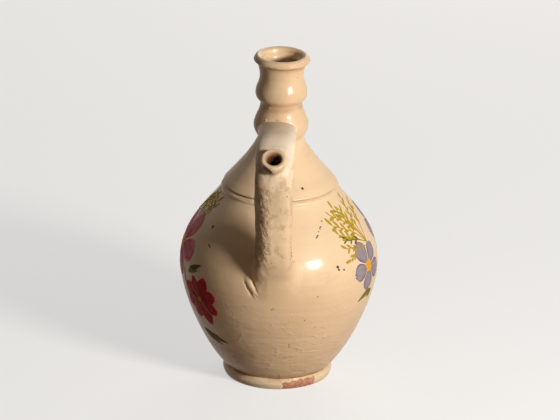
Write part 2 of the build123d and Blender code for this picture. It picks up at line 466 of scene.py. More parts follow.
class SpeckTree(TreeBench):
    """Sets small spots on a wall: each loose point holds an angle, a height and a width."""

    def __init__(self) -> None:
        """Shoots each point at the wall and leaves a flat bead there."""
        super().__init__("specks_on_wall")
        marks, wall, thickness, paint = self.inputs(
            Marks="Geometry", Wall="Object", Thickness="Float", Finish="Material"
        )
        angle, level, width = self.axes(self.position())
        outward = self.combine(self.math("SINE", angle), self.math("COSINE", angle) * -1.0)
        start = self.vector("ADD", self.combine(z=level), self.scaled(outward, SHEET_OUT))
        ray = self.shot(wall, start, outward, SHEET_OUT)
        marks = self.noted(marks, "width", "FLOAT", width)
        marks = self.noted(marks, "facing", "FLOAT_VECTOR", ray["Hit Normal"])
        placed = {"Geometry": marks, "Position": ray["Hit Position"]}
        size, up = self.read("width", "FLOAT"), self.read("facing", "FLOAT_VECTOR")
        beads = {
            "Points": self.add("GeometryNodeSetPosition", placed)[0],
            "Instance": self.add("GeometryNodeMeshIcoSphere", {"Radius": 0.5, "Subdivisions": 2})["Mesh"],
            "Rotation": self.add("FunctionNodeAlignRotationToVector", {"Vector": up}, axis="Z")[0],
            "Scale": self.combine(size, size * 0.85, thickness),
        }
        self.finish(self.add("GeometryNodeInstanceOnPoints", beads)[0], paint)

    def noted(self, points: Signal, name: str, kind: str, value: Signal) -> Signal:
        """Points that keep a value under a name."""
        inputs = {"Geometry": points, "Name": name, "Value": value}
        return self.add("GeometryNodeStoreNamedAttribute", inputs, data_type=kind)[0]

    def read(self, name: str, kind: str) -> Signal:
        """A value that the points keep."""
        return self.add("GeometryNodeInputNamedAttribute", {"Name": name}, data_type=kind)[0]


@dataclass(frozen=True)
class Mark:
    """A place on the jug: an angle in degrees, then distance from the axis and height in millimetres."""

    angle: float
    out: float
    height: float

    @property
    def place(self) -> Vector:
        """The place in metres."""
        turn = math.radians(self.angle)
        return Vector((math.sin(turn) * self.out, -math.cos(turn) * self.out, self.height)) * MM


@dataclass(frozen=True)
class Smear:
    """A brown stain between two places, with its reach in millimetres and its strength."""

    start: Mark
    end: Mark
    reach: float
    depth: float


@dataclass(frozen=True)
class Crease:
    """A line pressed into the soft clay and darkened in colour as painted shade, with its half width in
    millimetres.
    """

    start: Mark
    end: Mark
    half: float


@dataclass(frozen=True)
class Groove:
    """A level at which dirt lies in the glaze, with its half width and its strength."""

    height: float
    half: float
    depth: float


@dataclass(frozen=True)
class Specks:
    """Iron specks in the glaze: how many to a metre, how large, how rare and how strong."""

    scale: float
    size: float
    rare: float
    depth: float


@dataclass(frozen=True)
class Glaze:
    """Thick cream glaze over earthenware, with the marks of the wheel under it."""

    name: str = "cream_glaze"
    cream: Colour = (0.80, 0.610, 0.402)
    honey: Colour = (0.68, 0.462, 0.272)
    # Brown stain of the grooves and smears, also used as painted shade in the creases by the stem's root.
    brown_stain_and_shade: Colour = (0.46, 0.27, 0.135)
    iron: Colour = (0.16, 0.065, 0.028)
    grooves: tuple[Groove, ...] = (
        Groove(0.1850, 0.0022, 0.20),
        Groove(0.2612, 0.0052, 0.75),
        Groove(0.2998, 0.0042, 0.70),
        Groove(0.3046, 0.0020, 0.45),
        Groove(0.0112, 0.0045, 0.8),
    )
    smears: tuple[Smear, ...] = (
        Smear(Mark(-34.0, 20.5, 298.0), Mark(-36.0, 21.0, 283.0), 6.0, 0.55),
        Smear(Mark(40.0, 21.0, 299.0), Mark(62.0, 21.0, 298.0), 3.0, 0.55),
        Smear(Mark(-40.0, 20.0, 262.0), Mark(-10.0, 20.0, 260.0), 5.0, 0.5),
        Smear(Mark(-6.0, 21.9, 251.8), Mark(26.0, 23.0, 249.2), 2.8, 0.85),
        Smear(Mark(-30.0, 52.0, 185.0), Mark(-70.0, 52.0, 185.0), 4.5, 0.5),
        Smear(Mark(-20.0, 70.0, 40.0), Mark(-45.0, 60.0, 20.0), 14.0, 0.35),
    )
    # Creases are pressed in by the bump and also darkened in colour as painted shade.
    creases: tuple[Crease, ...] = (
        Crease(Mark(-13.4, 88.8, 129.0), Mark(-8.2, 90.7, 105.0), 3.0),
        Crease(Mark(-18.0, 89.8, 124.0), Mark(-10.4, 90.7, 103.0), 2.4),
    )
    specks: tuple[Specks, ...] = (Specks(330.0, 0.13, 0.60, 0.7), Specks(900.0, 0.20, 0.56, 0.35))
    cream_from: float = 0.150
    neck_from: float = 0.228
    gloss: float = 0.30
    coat: float = 0.17
    relief_depth: float = 0.9 * MM

    def material(self) -> bpy.types.Material:
        """Builds the glaze.

        Returns:
            A material in the model's frame, so that it runs on from piece to piece.
        """
        bench = MaterialBench(self.name)
        where = bench.place()
        height = self.relief(bench, where) - 1.1 * self.pressed(bench, where)
        shader = bench.surface(
            Base_Color=self.colour(bench, where),
            Roughness=self.gloss + 0.14 * bench.noise(where, 30.0, 2.0),
            IOR=1.5,
            Specular_IOR_Level=0.08,
            Coat_Weight=self.coat,
            Coat_Roughness=0.13,
            Normal=bench.bump(height, self.relief_depth),
        )
        return bench.finish(shader)

    def colour(self, bench: MaterialBench, where: Signal) -> Signal:
        """The glaze's colour: paler above, clouded, brown in the grooves, darkened as painted shade in the
        creases by the stem's root, and specked with iron.
        """
        height = bench.axes(where)[2]
        cloud = bench.noise(where, 13.0, 3.0).rise(0.36, 0.68)
        streak = bench.noise(where, (9.0, 9.0, 150.0), 3.0).rise(0.42, 0.72)
        low = height.rise(self.cream_from + 0.02, self.cream_from - 0.05)
        neck = height.rise(self.neck_from, self.neck_from + 0.02)
        warmth = 0.12 + 0.42 * low + 0.32 * neck + 0.30 * cloud + 0.14 * streak
        dirt = bench.noise(where, 48.0, 4.0, 0.6).rise(0.32, 0.66)
        drift = bench.noise(where, (22.0, 22.0, 40.0), 4.0, 0.62).rise(0.56, 0.78)
        coats = [(height.band(g.height, g.half) * dirt * g.depth, self.brown_stain_and_shade) for g in self.grooves]
        coats.append((drift * 0.24, self.brown_stain_and_shade))
        for smear in self.smears:
            away, _ = bench.from_line(where, smear.start.place, smear.end.place)
            ragged = away + (dirt - 0.5) * smear.reach * 0.7 * MM
            coats.append((ragged.rise(smear.reach * MM, 0.0) * smear.depth, self.brown_stain_and_shade))
        # Painted shade: the creases beside the stem's root are darkened with the brown stain colour, as if
        # shadow lay in them.
        coats.append((self.pressed(bench, where) * 0.5, self.brown_stain_and_shade))
        for specks in self.specks:
            cells = {"Vector": where, "Scale": specks.scale, "Randomness": 1.0}
            spot = bench.add("ShaderNodeTexVoronoi", cells, feature="F1")["Distance"]
            lone = bench.noise(where, specks.scale / 7.0, 2.0).rise(specks.rare, specks.rare + 0.1)
            coats.append((spot.rise(specks.size, specks.size * 0.5) * lone * specks.depth, self.iron))
        return bench.layered(bench.mix(warmth, self.cream, self.honey), *coats)

    def pressed(self, bench: MaterialBench, where: Signal) -> Signal:
        """1 along the creases beside the stem's root."""
        depth: Value = 0.0
        for crease in self.creases:
            away, share = bench.from_line(where, crease.start.place, crease.end.place)
            line = away.rise(crease.half * MM, 0.0) * share.rise(0.0, 0.45) * share.rise(1.0, 0.5)
            depth = line.maximum(depth)
        return depth

    def relief(self, bench: MaterialBench, where: Signal) -> Signal:
        """Throwing rings and lumps, strongest low on the belly, and the slight skin of the glaze."""
        low = bench.axes(where)[2].rise(0.14, 0.05)
        rings = bench.noise(where, (8.0, 8.0, 210.0), 4.0, 0.6)
        drag = bench.noise(where, (26.0, 26.0, 75.0), 3.0, 0.6)
        skin = bench.noise(where, 130.0, 3.0)
        lumps = bench.noise(where, (150.0, 150.0, 270.0), 2.0).rise(0.52, 0.74)
        here = bench.noise(where, 36.0, 2.0).rise(0.40, 0.56) * low
        return rings * (0.20 + 0.42 * low) + drag * (0.18 + 0.80 * low) + skin * 0.25 + lumps * here * 0.34


@dataclass(frozen=True)
class NozzleAxis:
    """Where the drinking nozzle stands and which way it points."""

    out: float = 104.4 * MM
    height: float = 236.0 * MM
    rise: float = math.radians(58.0)
    reach: float = 17.5 * MM

    @property
    def root(self) -> Vector:
        """The foot of the axis, inside the elbow."""
        return Vector((0.0, -self.out, self.height))

    @property
    def axis(self) -> Vector:
        """The direction that the water leaves in."""
        return Vector((0.0, -math.cos(self.rise), math.sin(self.rise)))

    @property
    def over(self) -> Vector:
        """Square to the axis, up over the nozzle."""
        return self.axis.cross(Vector((1.0, 0.0, 0.0)))


@dataclass(frozen=True)
class WornGlaze(Glaze):
    """The same glaze on the handle, greyed and scratched by hands, stained at the nozzle, pale on the arm
    partly as painted sheen and dark down the stem's left side partly as painted shade.
    """

    name: str = "worn_glaze"
    # Pale grey grime, made paler still to paint in the sheen that the arm's top shows.
    grime_and_sheen: Colour = (0.87, 0.73, 0.57)
    soot: Colour = (0.42, 0.27, 0.145)
    # Rubbed dirt and painted shade: the stem's left side faces away from the key light and is also darkened
    # in colour.
    rubbed: Colour = (0.34, 0.21, 0.11)
    scratch: Colour = (0.30, 0.20, 0.12)
    lip: Colour = (0.70, 0.50, 0.30)
    dregs: Colour = (0.085, 0.036, 0.016)
    rust: Colour = (0.19, 0.055, 0.020)
    grooves: tuple[Groove, ...] = ()
    grime_and_sheen_from: float = 0.212
    grime_and_sheen_full: float = 0.243
    gloss: float = 0.40
    coat: float = 0.06
    bore: float = 5.6 * MM
    nozzle: NozzleAxis = NozzleAxis()
    crevice_along: float = 11.2 * MM
    crevice_under: float = 9.8 * MM
    crevice_left: float = 6.0 * MM

    def worn_edge(self, bench: MaterialBench, where: Signal) -> Signal:
        """1 along the stem's left edge, where hands and shelves rubbed it."""
        x, _, z = bench.axes(where)
        return x.band(-0.0080, 0.0095) * z.rise(0.135, 0.155) * z.rise(0.232, 0.215)

    def colour(self, bench: MaterialBench, where: Signal) -> Signal:
        """Adds pale grime with painted sheen on the arm, dirt on the stem, dirt with painted shade on the
        stem's left side, and dregs in the nozzle.
        """
        x, _, z = bench.axes(where)
        patch = bench.noise(where, 60.0, 4.0, 0.6).rise(0.3, 0.62)
        high = z.rise(self.grime_and_sheen_from, self.grime_and_sheen_full)
        smudge = bench.noise(where, 95.0, 5.0, 0.65).rise(0.48, 0.74)
        # Mask of rubbed dirt and painted shade down the stem's left side, which lies away from the light.
        rubbed = x.rise(0.001, -0.013) * z.rise(0.130, 0.150) * z.rise(0.245, 0.225)
        right_edge = x.band(0.0158, 0.0022) * z.rise(0.140, 0.150) * z.rise(0.225, 0.205)
        tide = z.band(0.131, 0.008) * x.band(0.0, 0.021) * patch
        nick = bench.noise(where, (420.0, 420.0, 210.0), 4.0, 0.7).rise(0.44, 0.62)
        return bench.layered(
            Glaze.colour(self, bench, where),
            # Pale grime and painted sheen over the arm; the soot below is mostly kept off the arm so that
            # it stays pale.
            (high * (0.5 + 0.4 * patch), self.grime_and_sheen),
            (z.rise(0.128, 0.15) * (1.0 - 0.85 * high) * smudge * 0.74, self.soot),
            (rubbed * (0.35 + 0.45 * patch), self.rubbed),
            (right_edge * patch * 0.55, self.soot),
            (tide * 0.2, self.soot),
            (self.worn_edge(bench, where) * nick * 0.75, self.scratch),
            *self.stains(bench, where),
        )

    def stains(self, bench: MaterialBench, where: Signal) -> list[tuple[Signal, Colour]]:
        """Haze round the nozzle, dark dregs down its bore and a rusty crevice under its lip."""
        nozzle, bore, end = self.nozzle, self.bore, self.nozzle.reach
        offset = bench.vector("SUBTRACT", where, tuple(nozzle.root))
        along = bench.measure("DOT_PRODUCT", offset, tuple(nozzle.axis))
        beside = bench.vector("SUBTRACT", offset, bench.scaled(tuple(nozzle.axis), along))
        reach = bench.measure("LENGTH", beside)
        haze = reach.rise(24.0 * MM, 15.0 * MM) * bench.noise(where, 120.0, 4.0, 0.6).rise(0.42, 0.66)
        cup = along.rise(5.0 * MM, 9.0 * MM) * reach.rise(16.0 * MM, 13.0 * MM)
        speck = bench.noise(where, 260.0, 4.0, 0.65).rise(0.5, 0.66)
        tide = reach.rise(bore + 3.4 * MM, bore + 1.2 * MM) * cup
        deep = along.rise(end - 1.2 * MM, end - 4.5 * MM) * along.rise(-4.0 * MM, -1.0 * MM)
        corner = nozzle.root + nozzle.axis * self.crevice_along - nozzle.over * self.crevice_under
        corner -= Vector((self.crevice_left, 0.0, 0.0))
        away = bench.measure("DISTANCE", where, tuple(corner))
        ragged = away + (bench.noise(where, 300.0, 3.0) - 0.5) * 3.0 * MM
        return [
            (haze * 0.5, self.soot),
            (cup * 0.8, self.lip),
            (cup * speck * 0.3, self.soot),
            (tide * 0.7, self.rust),
            (reach.rise(bore + 1.6 * MM, bore + 0.4 * MM) * deep, self.dregs),
            (ragged.rise(6.8 * MM, 4.8 * MM) * 0.95, self.dregs),
        ]

    def relief(self, bench: MaterialBench, where: Signal) -> Signal:
        """Finger marks all over and deep nicks down the worn edge."""
        soft = bench.noise(where, 70.0, 3.0)
        nick = bench.noise(where, 420.0, 4.0, 0.7)
        flake = bench.noise(where, 170.0, 4.0, 0.6).rise(0.42, 0.58)
        return soft * 0.6 + nick * 0.10 + (nick * 0.8 + flake * 0.7) * self.worn_edge(bench, where)


@dataclass(frozen=True)
class ChippedGlaze(Glaze):
    """The pale glaze of the foot, knocked off where the attribute "bare" says so."""

    name: str = "foot_glaze"
    cream: Colour = (0.80, 0.64, 0.45)
    honey: Colour = (0.72, 0.54, 0.35)
    clay: Colour = (0.43, 0.180, 0.095)
    crumb: Colour = (0.62, 0.35, 0.225)

    def colour(self, bench: MaterialBench, where: Signal) -> Signal:
        """Mixes in bare clay inside the chip."""
        bare = bench.add("ShaderNodeAttribute", attribute_name="bare")["Fac"]
        ragged = (bare + 0.6 * bench.noise(where, 260.0, 3.0) - 0.3).rise(0.40, 0.5)
        grain = bench.noise(where, 420.0, 4.0, 0.6).rise(0.46, 0.66)
        clay = bench.mix(grain * 0.7, self.clay, self.crumb)
        return bench.mix(ragged, Glaze.colour(self, bench, where), clay)


@dataclass(frozen=True)
class BareClay:
    """Fired clay with no glaze, under the foot."""

    name: str = "bare_clay"
    clay: Colour = (0.56, 0.36, 0.27)
    dark: Colour = (0.40, 0.23, 0.16)
    ring_pitch: float = 2600.0
    grit_depth: float = 0.25 * MM

    def material(self) -> bpy.types.Material:
        """Builds the clay: turning marks, grit and a dry surface."""
        bench = MaterialBench(self.name)
        where = bench.place()
        x, y, _ = bench.axes(where)
        reach = bench.math("SQRT", x * x + y * y)
        rings = bench.math("SINE", reach * self.ring_pitch + 3.0 * bench.noise(where, 40.0)) * 0.5 + 0.5
        grit = bench.noise(where, 420.0, 4.0, 0.65)
        shader = bench.surface(
            Base_Color=bench.mix(grit.rise(0.35, 0.7) * 0.6 + rings * 0.2, self.clay, self.dark),
            Roughness=0.82 + 0.12 * grit,
            Normal=bench.bump(grit * 0.5 + rings * 0.5, self.grit_depth),
        )
        return bench.finish(shader)


@dataclass(frozen=True)
class Paint:
    """Brushed ceramic paint under a thin gloss; its strokes run along the flat's own UV map."""

    name: str
    pale: Colour
    deep: Colour
    root_shade: float
    vein: float
    outline: float

    def material(self) -> bpy.types.Material:
        """Builds the paint: deep at a stroke's root, pale at its end, with fine brush lines."""
        bench = MaterialBench(self.name)
        uv = bench.add("ShaderNodeTexCoord")["UV"]
        along, across, _ = bench.axes(uv)
        lines = bench.noise(uv, (1.6, 16.0, 1.0), 2.0).rise(0.40, 0.62)
        wash = bench.noise(bench.place(), 160.0, 3.0).rise(0.3, 0.7)
        root = along.rise(0.75, 0.0) * self.root_shade
        edge = bench.math("ABSOLUTE", across - 0.5).rise(0.34, 0.5).maximum(along.rise(0.86, 1.0))
        shade = (root + lines * self.vein * 0.6 + wash * 0.25 + edge * self.outline) * 0.8
        shader = bench.surface(
            Base_Color=bench.mix(shade, self.pale, self.deep),
            Roughness=0.46 + 0.12 * wash,
            IOR=1.5,
            Specular_IOR_Level=0.03,
            Coat_Weight=0.03,
            Coat_Roughness=0.15,
            Normal=bench.bump(wash, 0.06 * MM),
        )
        return bench.finish(shader)


class Palette(Enum):
    """The paints of the flowers."""

    PINK = Paint("pink_petal", (0.80, 0.31, 0.34), (0.50, 0.035, 0.09), 1.0, 1.1, -0.4)
    RED = Paint("red_petal", (0.52, 0.030, 0.034), (0.24, 0.004, 0.008), 0.7, 0.8, -0.10)
    LILAC = Paint("lilac_petal", (0.33, 0.275, 0.290), (0.14, 0.115, 0.175), 0.2, 0.6, 0.9)
    LEAF = Paint("green_leaf", (0.25, 0.20, 0.020), (0.085, 0.085, 0.022), 0.5, 0.5, 0.2)
    DEEP_LEAF = Paint("deep_leaf", (0.10, 0.10, 0.050), (0.035, 0.050, 0.034), 0.5, 0.5, 0.3)
    OLIVE = Paint("olive_leaf", (0.16, 0.115, 0.008), (0.055, 0.042, 0.005), 0.5, 0.6, 0.2)
    SPRIG = Paint("sprig_green", (0.47, 0.315, 0.016), (0.27, 0.195, 0.008), 0.2, 0.3, 0.0)
    HEART = Paint("flower_heart", (0.78, 0.40, 0.040), (0.50, 0.20, 0.015), 0.2, 0.6, 0.2)
    LINE = Paint("pale_line", (0.80, 0.48, 0.45), (0.66, 0.32, 0.30), 0.2, 0.2, 0.0)
    IRON = Paint("iron_spot", (0.28, 0.095, 0.045), (0.07, 0.020, 0.010), 0.2, 0.6, 0.4)
    SMOKE = Paint("dark_dot", (0.12, 0.105, 0.11), (0.05, 0.045, 0.05), 0.2, 0.4, 0.3)


def linked(name: str, data: Any) -> bpy.types.Object:
    """A new object in the scene."""
    thing = bpy.data.objects.new(name, data)
    bpy.context.scene.collection.objects.link(thing)
    return thing


def apply(piece: bpy.types.Object, modifier: bpy.types.Modifier) -> None:
    """Gives a piece the plain mesh that its modifier makes, and removes the modifier."""
    bpy.context.view_layer.update()
    made = bpy.data.meshes.new_from_object(piece.evaluated_get(bpy.context.evaluated_depsgraph_get()))
    piece.modifiers.remove(modifier)
    piece.data = made


def rework(mesh: bpy.types.Mesh, job: Callable[[bmesh.types.BMesh], Any]) -> None:
    """Does one job on a mesh's points and faces."""
    work = bmesh.new()
    work.from_mesh(mesh)
    job(work)
    work.to_mesh(mesh)
    work.free()


def face_outward(mesh: bpy.types.Mesh) -> None:
    """Turns all faces outwards, smooth with sharp corners."""
    rework(mesh, lambda work: bmesh.ops.recalc_face_normals(work, faces=work.faces[:]))
    mesh.polygons.foreach_set("use_smooth", [True] * len(mesh.polygons))
    mesh.set_sharp_from_angle(angle=SHARP_CORNER)


def weld(mesh: bpy.types.Mesh) -> None:
    """Joins points that share a place, such as those at a stroke's tip."""
    rework(mesh, lambda work: bmesh.ops.remove_doubles(work, verts=work.verts[:], dist=WELD_GAP))


def plain_mesh(name: str, points: Sequence, edges: Sequence, faces: Sequence) -> bpy.types.Mesh:
    """A mesh of points, edges and faces by number."""
    mesh = bpy.data.meshes.new(name)
    mesh.from_pydata([tuple(p) for p in points], edges, faces)
    return mesh


def skin(name: str, points: np.ndarray, faces: Sequence[Sequence[int]]) -> bpy.types.Mesh:
    """A mesh whose faces point outwards."""
    mesh = plain_mesh(name, points, [], [list(f) for f in faces])
    face_outward(mesh)
    return mesh


def new_piece(name: str, mesh: bpy.types.Mesh, finish: bpy.types.Material) -> bpy.types.Object:
    """An object at the origin with one finish."""
    mesh.materials.clear()
    mesh.materials.append(finish)
    return linked(name, mesh)


def hand_over(piece: bpy.types.Object, slot: Optional[Slot], *nodes: str) -> bpy.types.Object:
    """Lets a finished piece ride on the jug.

    Args:
        piece: the piece.
        slot: not used.
        nodes: the CAD nodes that it stands for.

    Returns:
        The piece.
    """
    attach(piece, ROOT)
    if nodes:
        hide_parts(*nodes)
    log.info("%s: %d faces, stands for %s", piece.name, len(piece.data.polygons), nodes or "itself")
    return piece


def wall_of(piece: bpy.types.Object) -> BVHTree:
    """A tree that finds places on a piece's surface."""
    mesh = piece.data
    return BVHTree.FromPolygons([v.co for v in mesh.vertices], [p.vertices for p in mesh.polygons])


class Profile:
    """A closed outline of radius and height, drawn point by point."""

    def __init__(self, radius: float, height: float) -> None:
        """Starts the outline."""
        self.points: list[Pair] = [(radius, height)]

    def line(self, radius: float, height: float, steps: int = 1) -> "Profile":
        """Goes straight to a point."""
        start = np.array(self.points[-1])
        end = np.array((radius, height))
        self.points += [tuple(start + (end - start) * i / steps) for i in range(1, steps + 1)]
        return self

    def bow(self, radius: float, height: float, bow: Bow, steps: int) -> "Profile":
        """Goes to a point along a cubic curve.

        Args:
            radius: the point's radius.
            height: the point's height.
            bow: the two handles as shares (radial, upright) of the span.
            steps: how many points the curve takes.

        Returns:
            The outline itself.
        """
        start, end = np.array(self.points[-1]), np.array((radius, height))
        first = start + (end - start) * bow[0]
        second = end - (end - start) * bow[1]
        for t in np.linspace(0, 1, steps + 1)[1:]:
            near = (1 - t) ** 3 * start + 3 * t * (1 - t) ** 2 * first
            self.points.append(tuple(near + 3 * t * t * (1 - t) * second + t**3 * end))
        return self

    def round(self, via: Pair, end: Pair, steps: int) -> "Profile":
        """Goes to a point along a bulge through a middle point."""
        start = np.array(self.points[-1])
        knee = 2 * np.array(via) - (start + np.array(end)) / 2
        for t in np.linspace(0, 1, steps + 1)[1:]:
            self.points.append(tuple((1 - t) ** 2 * start + 2 * t * (1 - t) * knee + t * t * np.array(end)))
        return self

    def smooth(self, stations: Sequence[Pair], steps: int) -> "Profile":
        """Goes through several points along one smooth curve."""
        curve = Spline(np.array([self.points[-1], *stations]))
        self.points += [tuple(curve(t)) for t in np.linspace(0, curve.length, steps + 1)[1:]]
        return self

    def mesh(self) -> bpy.types.Mesh:
        """The outline as loose points in the plane of X and Z."""
        return plain_mesh("profile", [(r, 0.0, z) for r, z in self.points], [], [])


class Spline:
    """A natural cubic spline through rows of values, by the distance between their first two columns."""

    def __init__(self, rows: np.ndarray) -> None:
        """Solves for the second derivatives."""
        self.rows = rows
        gaps = np.hypot(*np.diff(rows[:, :2], axis=0).T)
        self.knots = np.concatenate([[0.0], np.cumsum(gaps)])
        self.length = float(self.knots[-1])
        count = len(rows)
        system, right = np.eye(count), np.zeros_like(rows)
        slopes = np.diff(rows, axis=0) / gaps[:, None]
        for i in range(1, count - 1):
            system[i, i - 1 : i + 2] = gaps[i - 1], 2 * (gaps[i - 1] + gaps[i]), gaps[i]
            right[i] = 6 * (slopes[i] - slopes[i - 1])
        self.bend = np.linalg.solve(system, right)

    def __call__(self, place: float) -> np.ndarray:
        """The row at a distance along the spline."""
        i = int(np.clip(np.searchsorted(self.knots, place) - 1, 0, len(self.knots) - 2))
        gap = self.knots[i + 1] - self.knots[i]
        a = (self.knots[i + 1] - place) / gap
        b = 1 - a
        straight = a * self.rows[i] + b * self.rows[i + 1]
        curve = (a**3 - a) * self.bend[i] + (b**3 - b) * self.bend[i + 1]
        return straight + curve * gap * gap / 6


@dataclass
class ThrownBody:
    """Foot, belly, shoulder, neck and rim: everything that came off the wheel."""

    turning: TurningTree
    segments: int = 288
    waver: float = 0.40 * MM
    ring_depth: float = 0.30 * MM
    lump_depth: float = 0.4 * MM
    rim_lean: float = 0.02
    foot_bevel: float = 1.9 * MM
    foot_ring_width: float = 6.6 * MM
    belly_step: float = 1.8 * MM
    equator_rise: float = 99.5 * MM
    belly_wall: float = 6.5 * MM
    seam_radius: float = 51.5 * MM
    shoulder_wall: float = 5.5 * MM
    neck_radius: float = 20.9 * MM
    neck_wall: float = 4.8 * MM
    lip_root_radius: float = 22.3 * MM
    throat_bore: float = 15.8 * MM
    mouth_radius: float = 19.2 * MM
    belly_lower_bow: Bow = ((0.375, 0.128), (0.0, 0.315))
    belly_upper_bow: Bow = ((0.0, 0.485), (0.25, 0.225))
    shoulder_bow: Bow = ((0.29, 0.262), (0.24, 0.405))
    bulbs: tuple[Pair, ...] = (
        (4.5, 11.5),
        (-0.5, 27.0),
        (-1.3, 31.0),
        (-1.1, 34.0),
        (1.3, 36.9),
        (3.0, 44.0),
        (-0.3, 56.0),
    )
    pieces: dict[str, bpy.types.Object] = field(default_factory=dict)

    def turned(self, node: str, profile: Profile, finish: bpy.types.Material, lean: float = 0.0) -> None:
        """Turns one profile.

        Args:
            node: the CAD node that the piece stands for.
            profile: its closed outline.
            finish: its material.
            lean: how much lower each millimetre to the right of the left edge sits.
        """
        values = {
            "Segments": self.segments,
            "Waver": self.waver,
            "Ring Depth": self.ring_depth,
            "Lump Depth": self.lump_depth,
            "Lean": lean,
            "Finish": finish,
        }
        self.pieces[node] = self.turning.run(f"glazed_{node}", profile.mesh(), values)
        face_outward(self.pieces[node].data)

    def build(self, glaze: bpy.types.Material, foot_glaze: bpy.types.Material) -> None:
        """Turns all five pieces and hands them over."""
        self.turned("foot_ring", self.foot_profile(), foot_glaze)
        FootChip().cut(self.pieces["foot_ring"])
        self.turned("belly_wall", self.belly_profile(), glaze)
        self.turned("shoulder", self.shoulder_profile(), glaze)
        self.turned("neck", self.neck_profile(), glaze)
        self.turned("mouth_rim", self.rim_profile(), glaze, self.rim_lean)
        for node, piece in self.pieces.items():
            hand_over(piece, Slot.CREAM_GLAZE, node)

    def foot_profile(self) -> Profile:
        """A pale band with soft edges."""
        reach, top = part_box("foot_ring")[1].x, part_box("foot_ring")[1].z
        inner = reach - self.foot_ring_width
        sole = reach - self.foot_bevel
        return (
            Profile(inner, 0.0)
            .line(sole - 0.8 * MM, 0.0)
            .round((sole + 0.2 * MM, 0.35 * MM), (sole + 0.6 * MM, 1.4 * MM), 4)
            .round((reach, top / 2), (sole + 0.8 * MM, top - 1.2 * MM), 10)
            .round((sole + 0.3 * MM, top - 0.25 * MM), (sole - 0.4 * MM, top), 4)
            .line(inner, top)
        )

    def belly_profile(self) -> Profile:
        """The wall from the foot to the seam, rolled in at its top edge."""
        low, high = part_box("belly_wall")
        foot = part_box("foot_ring")[1].x - self.belly_step
        widest, equator = high.x, low.z + self.equator_rise
        seam = self.seam_radius
        return (
            Profile(foot - 0.7 * MM, low.z)
            .line(foot, low.z + 0.8 * MM)
            .bow(widest, equator, self.belly_lower_bow, 90)
            .bow(seam + 2.65 * MM, high.z - 4.6 * MM, self.belly_upper_bow, 80)
            .round((seam + 2.45 * MM, high.z - 2.3 * MM), (seam + 0.9 * MM, high.z - 0.7 * MM), 10)
            .round((seam + 0.1 * MM, high.z - 0.2 * MM), (seam - 0.7 * MM, high.z), 4)
            .line(seam - self.belly_wall, high.z)
            .bow(widest - self.belly_wall, equator, self.belly_upper_bow[::-1], 30)
            .bow(foot - self.belly_wall, low.z, self.belly_lower_bow[::-1], 30)
        )

    def shoulder_profile(self) -> Profile:
        """The cone over the seam, with its soft bead."""
        low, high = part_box("shoulder")
        seam = self.seam_radius
        return (
            Profile(seam - 0.7 * MM, low.z)
            .round((seam + 0.6 * MM, low.z + 1.4 * MM), (seam - 0.5 * MM, low.z + 3.1 * MM), 12)
            .bow(self.neck_radius, high.z, self.shoulder_bow, 60)
            .line(self.neck_radius - self.shoulder_wall, high.z)
            .bow(seam - self.belly_wall, low.z, self.shoulder_bow[::-1], 24)
        )

    def neck_profile(self) -> Profile:
        """Two bulbs one above the other and the straight throat."""
        low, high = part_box("neck")
        bulbs = [(self.neck_radius + out * MM, low.z + rise * MM) for out, rise in self.bulbs]
        hollow = [(r - self.neck_wall, z) for r, z in reversed(bulbs)]
        return (
            Profile(self.neck_radius, low.z)
            .smooth([*bulbs, (self.lip_root_radius, high.z)], 90)
            .line(self.throat_bore, high.z)
            .line(*hollow[0], 4)
            .smooth([*hollow[1:], (self.neck_radius - self.neck_wall, low.z)], 40)
        )

    def rim_profile(self) -> Profile:
        """The rolled rim of the filling mouth."""
        low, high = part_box("mouth_rim")
        mouth = self.mouth_radius
        crest = ((mouth + high.x) / 2 + 1.0 * MM, high.z - 0.5 * MM)
        return (
            Profile(self.throat_bore, low.z)
            .bow(mouth - 0.5 * MM, high.z - 2.6 * MM, ((0.2, 0.4), (0.2, 0.5)), 10)
            .round((mouth, high.z - 1.5 * MM), (mouth + 1.1 * MM, high.z - 0.8 * MM), 6)
            .round(crest, (high.x, high.z - 4.1 * MM), 16)
            .bow(self.lip_root_radius, low.z, ((0.0, 0.6), (0.2, 0.45)), 10)
        )


@dataclass
class FootChip:
    """The place where the foot's glaze was knocked off."""

    middle: float = math.radians(26.5)
    half_angle: float = math.radians(19.5)
    top: float = 8.2 * MM
    depth: float = 0.7 * MM
    skin: float = 4.5 * MM
    upper_edge: float = 1.2 * MM

    def cut(self, piece: bpy.types.Object) -> None:
        """Sinks the chip into the foot and marks it with the attribute "bare"."""
        mesh = piece.data
        places = np.zeros(len(mesh.vertices) * 3)
        mesh.vertices.foreach_get("co", places)
        places = places.reshape(-1, 3)
        angle = np.arctan2(places[:, 0], -places[:, 1]) - self.middle
        reach = np.hypot(places[:, 0], places[:, 1])
        ragged = 0.10 * np.sin(angle * 41.0) + 0.06 * np.sin(angle * 97.0 + places[:, 2] * 900.0)
        along = 1.0 - np.abs(angle) / self.half_angle + ragged
        upper = self.top * (0.66 + 0.40 * np.cos(angle * 2.4 - 0.5)) * (1.0 + 0.8 * ragged)
        under = (upper - places[:, 2]) / self.upper_edge
        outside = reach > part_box("foot_ring")[1].x - self.skin
        bare = np.clip(np.minimum(along * 8.0, under + 0.5), 0.0, 1.0) * outside
        shrink = 1.0 - self.depth * bare * (0.9 + 0.1 * np.sin(angle * 60.0)) / np.maximum(reach, MM)
        places[:, :2] *= shrink[:, None]
        mesh.vertices.foreach_set("co", places.ravel())
        mark = mesh.attributes.new("bare", "FLOAT", "POINT")
        mark.data.foreach_set("value", bare.astype(np.float32))
        mesh.update()


@dataclass(frozen=True)
class Station:
    """One section of the handle: place, size, how square it is and how far its left edge is rubbed off."""

    out: float
    height: float
    width: float
    depth: float
    square: float = 2.6
    sway: float = 0.0
    facet: float = 0.0


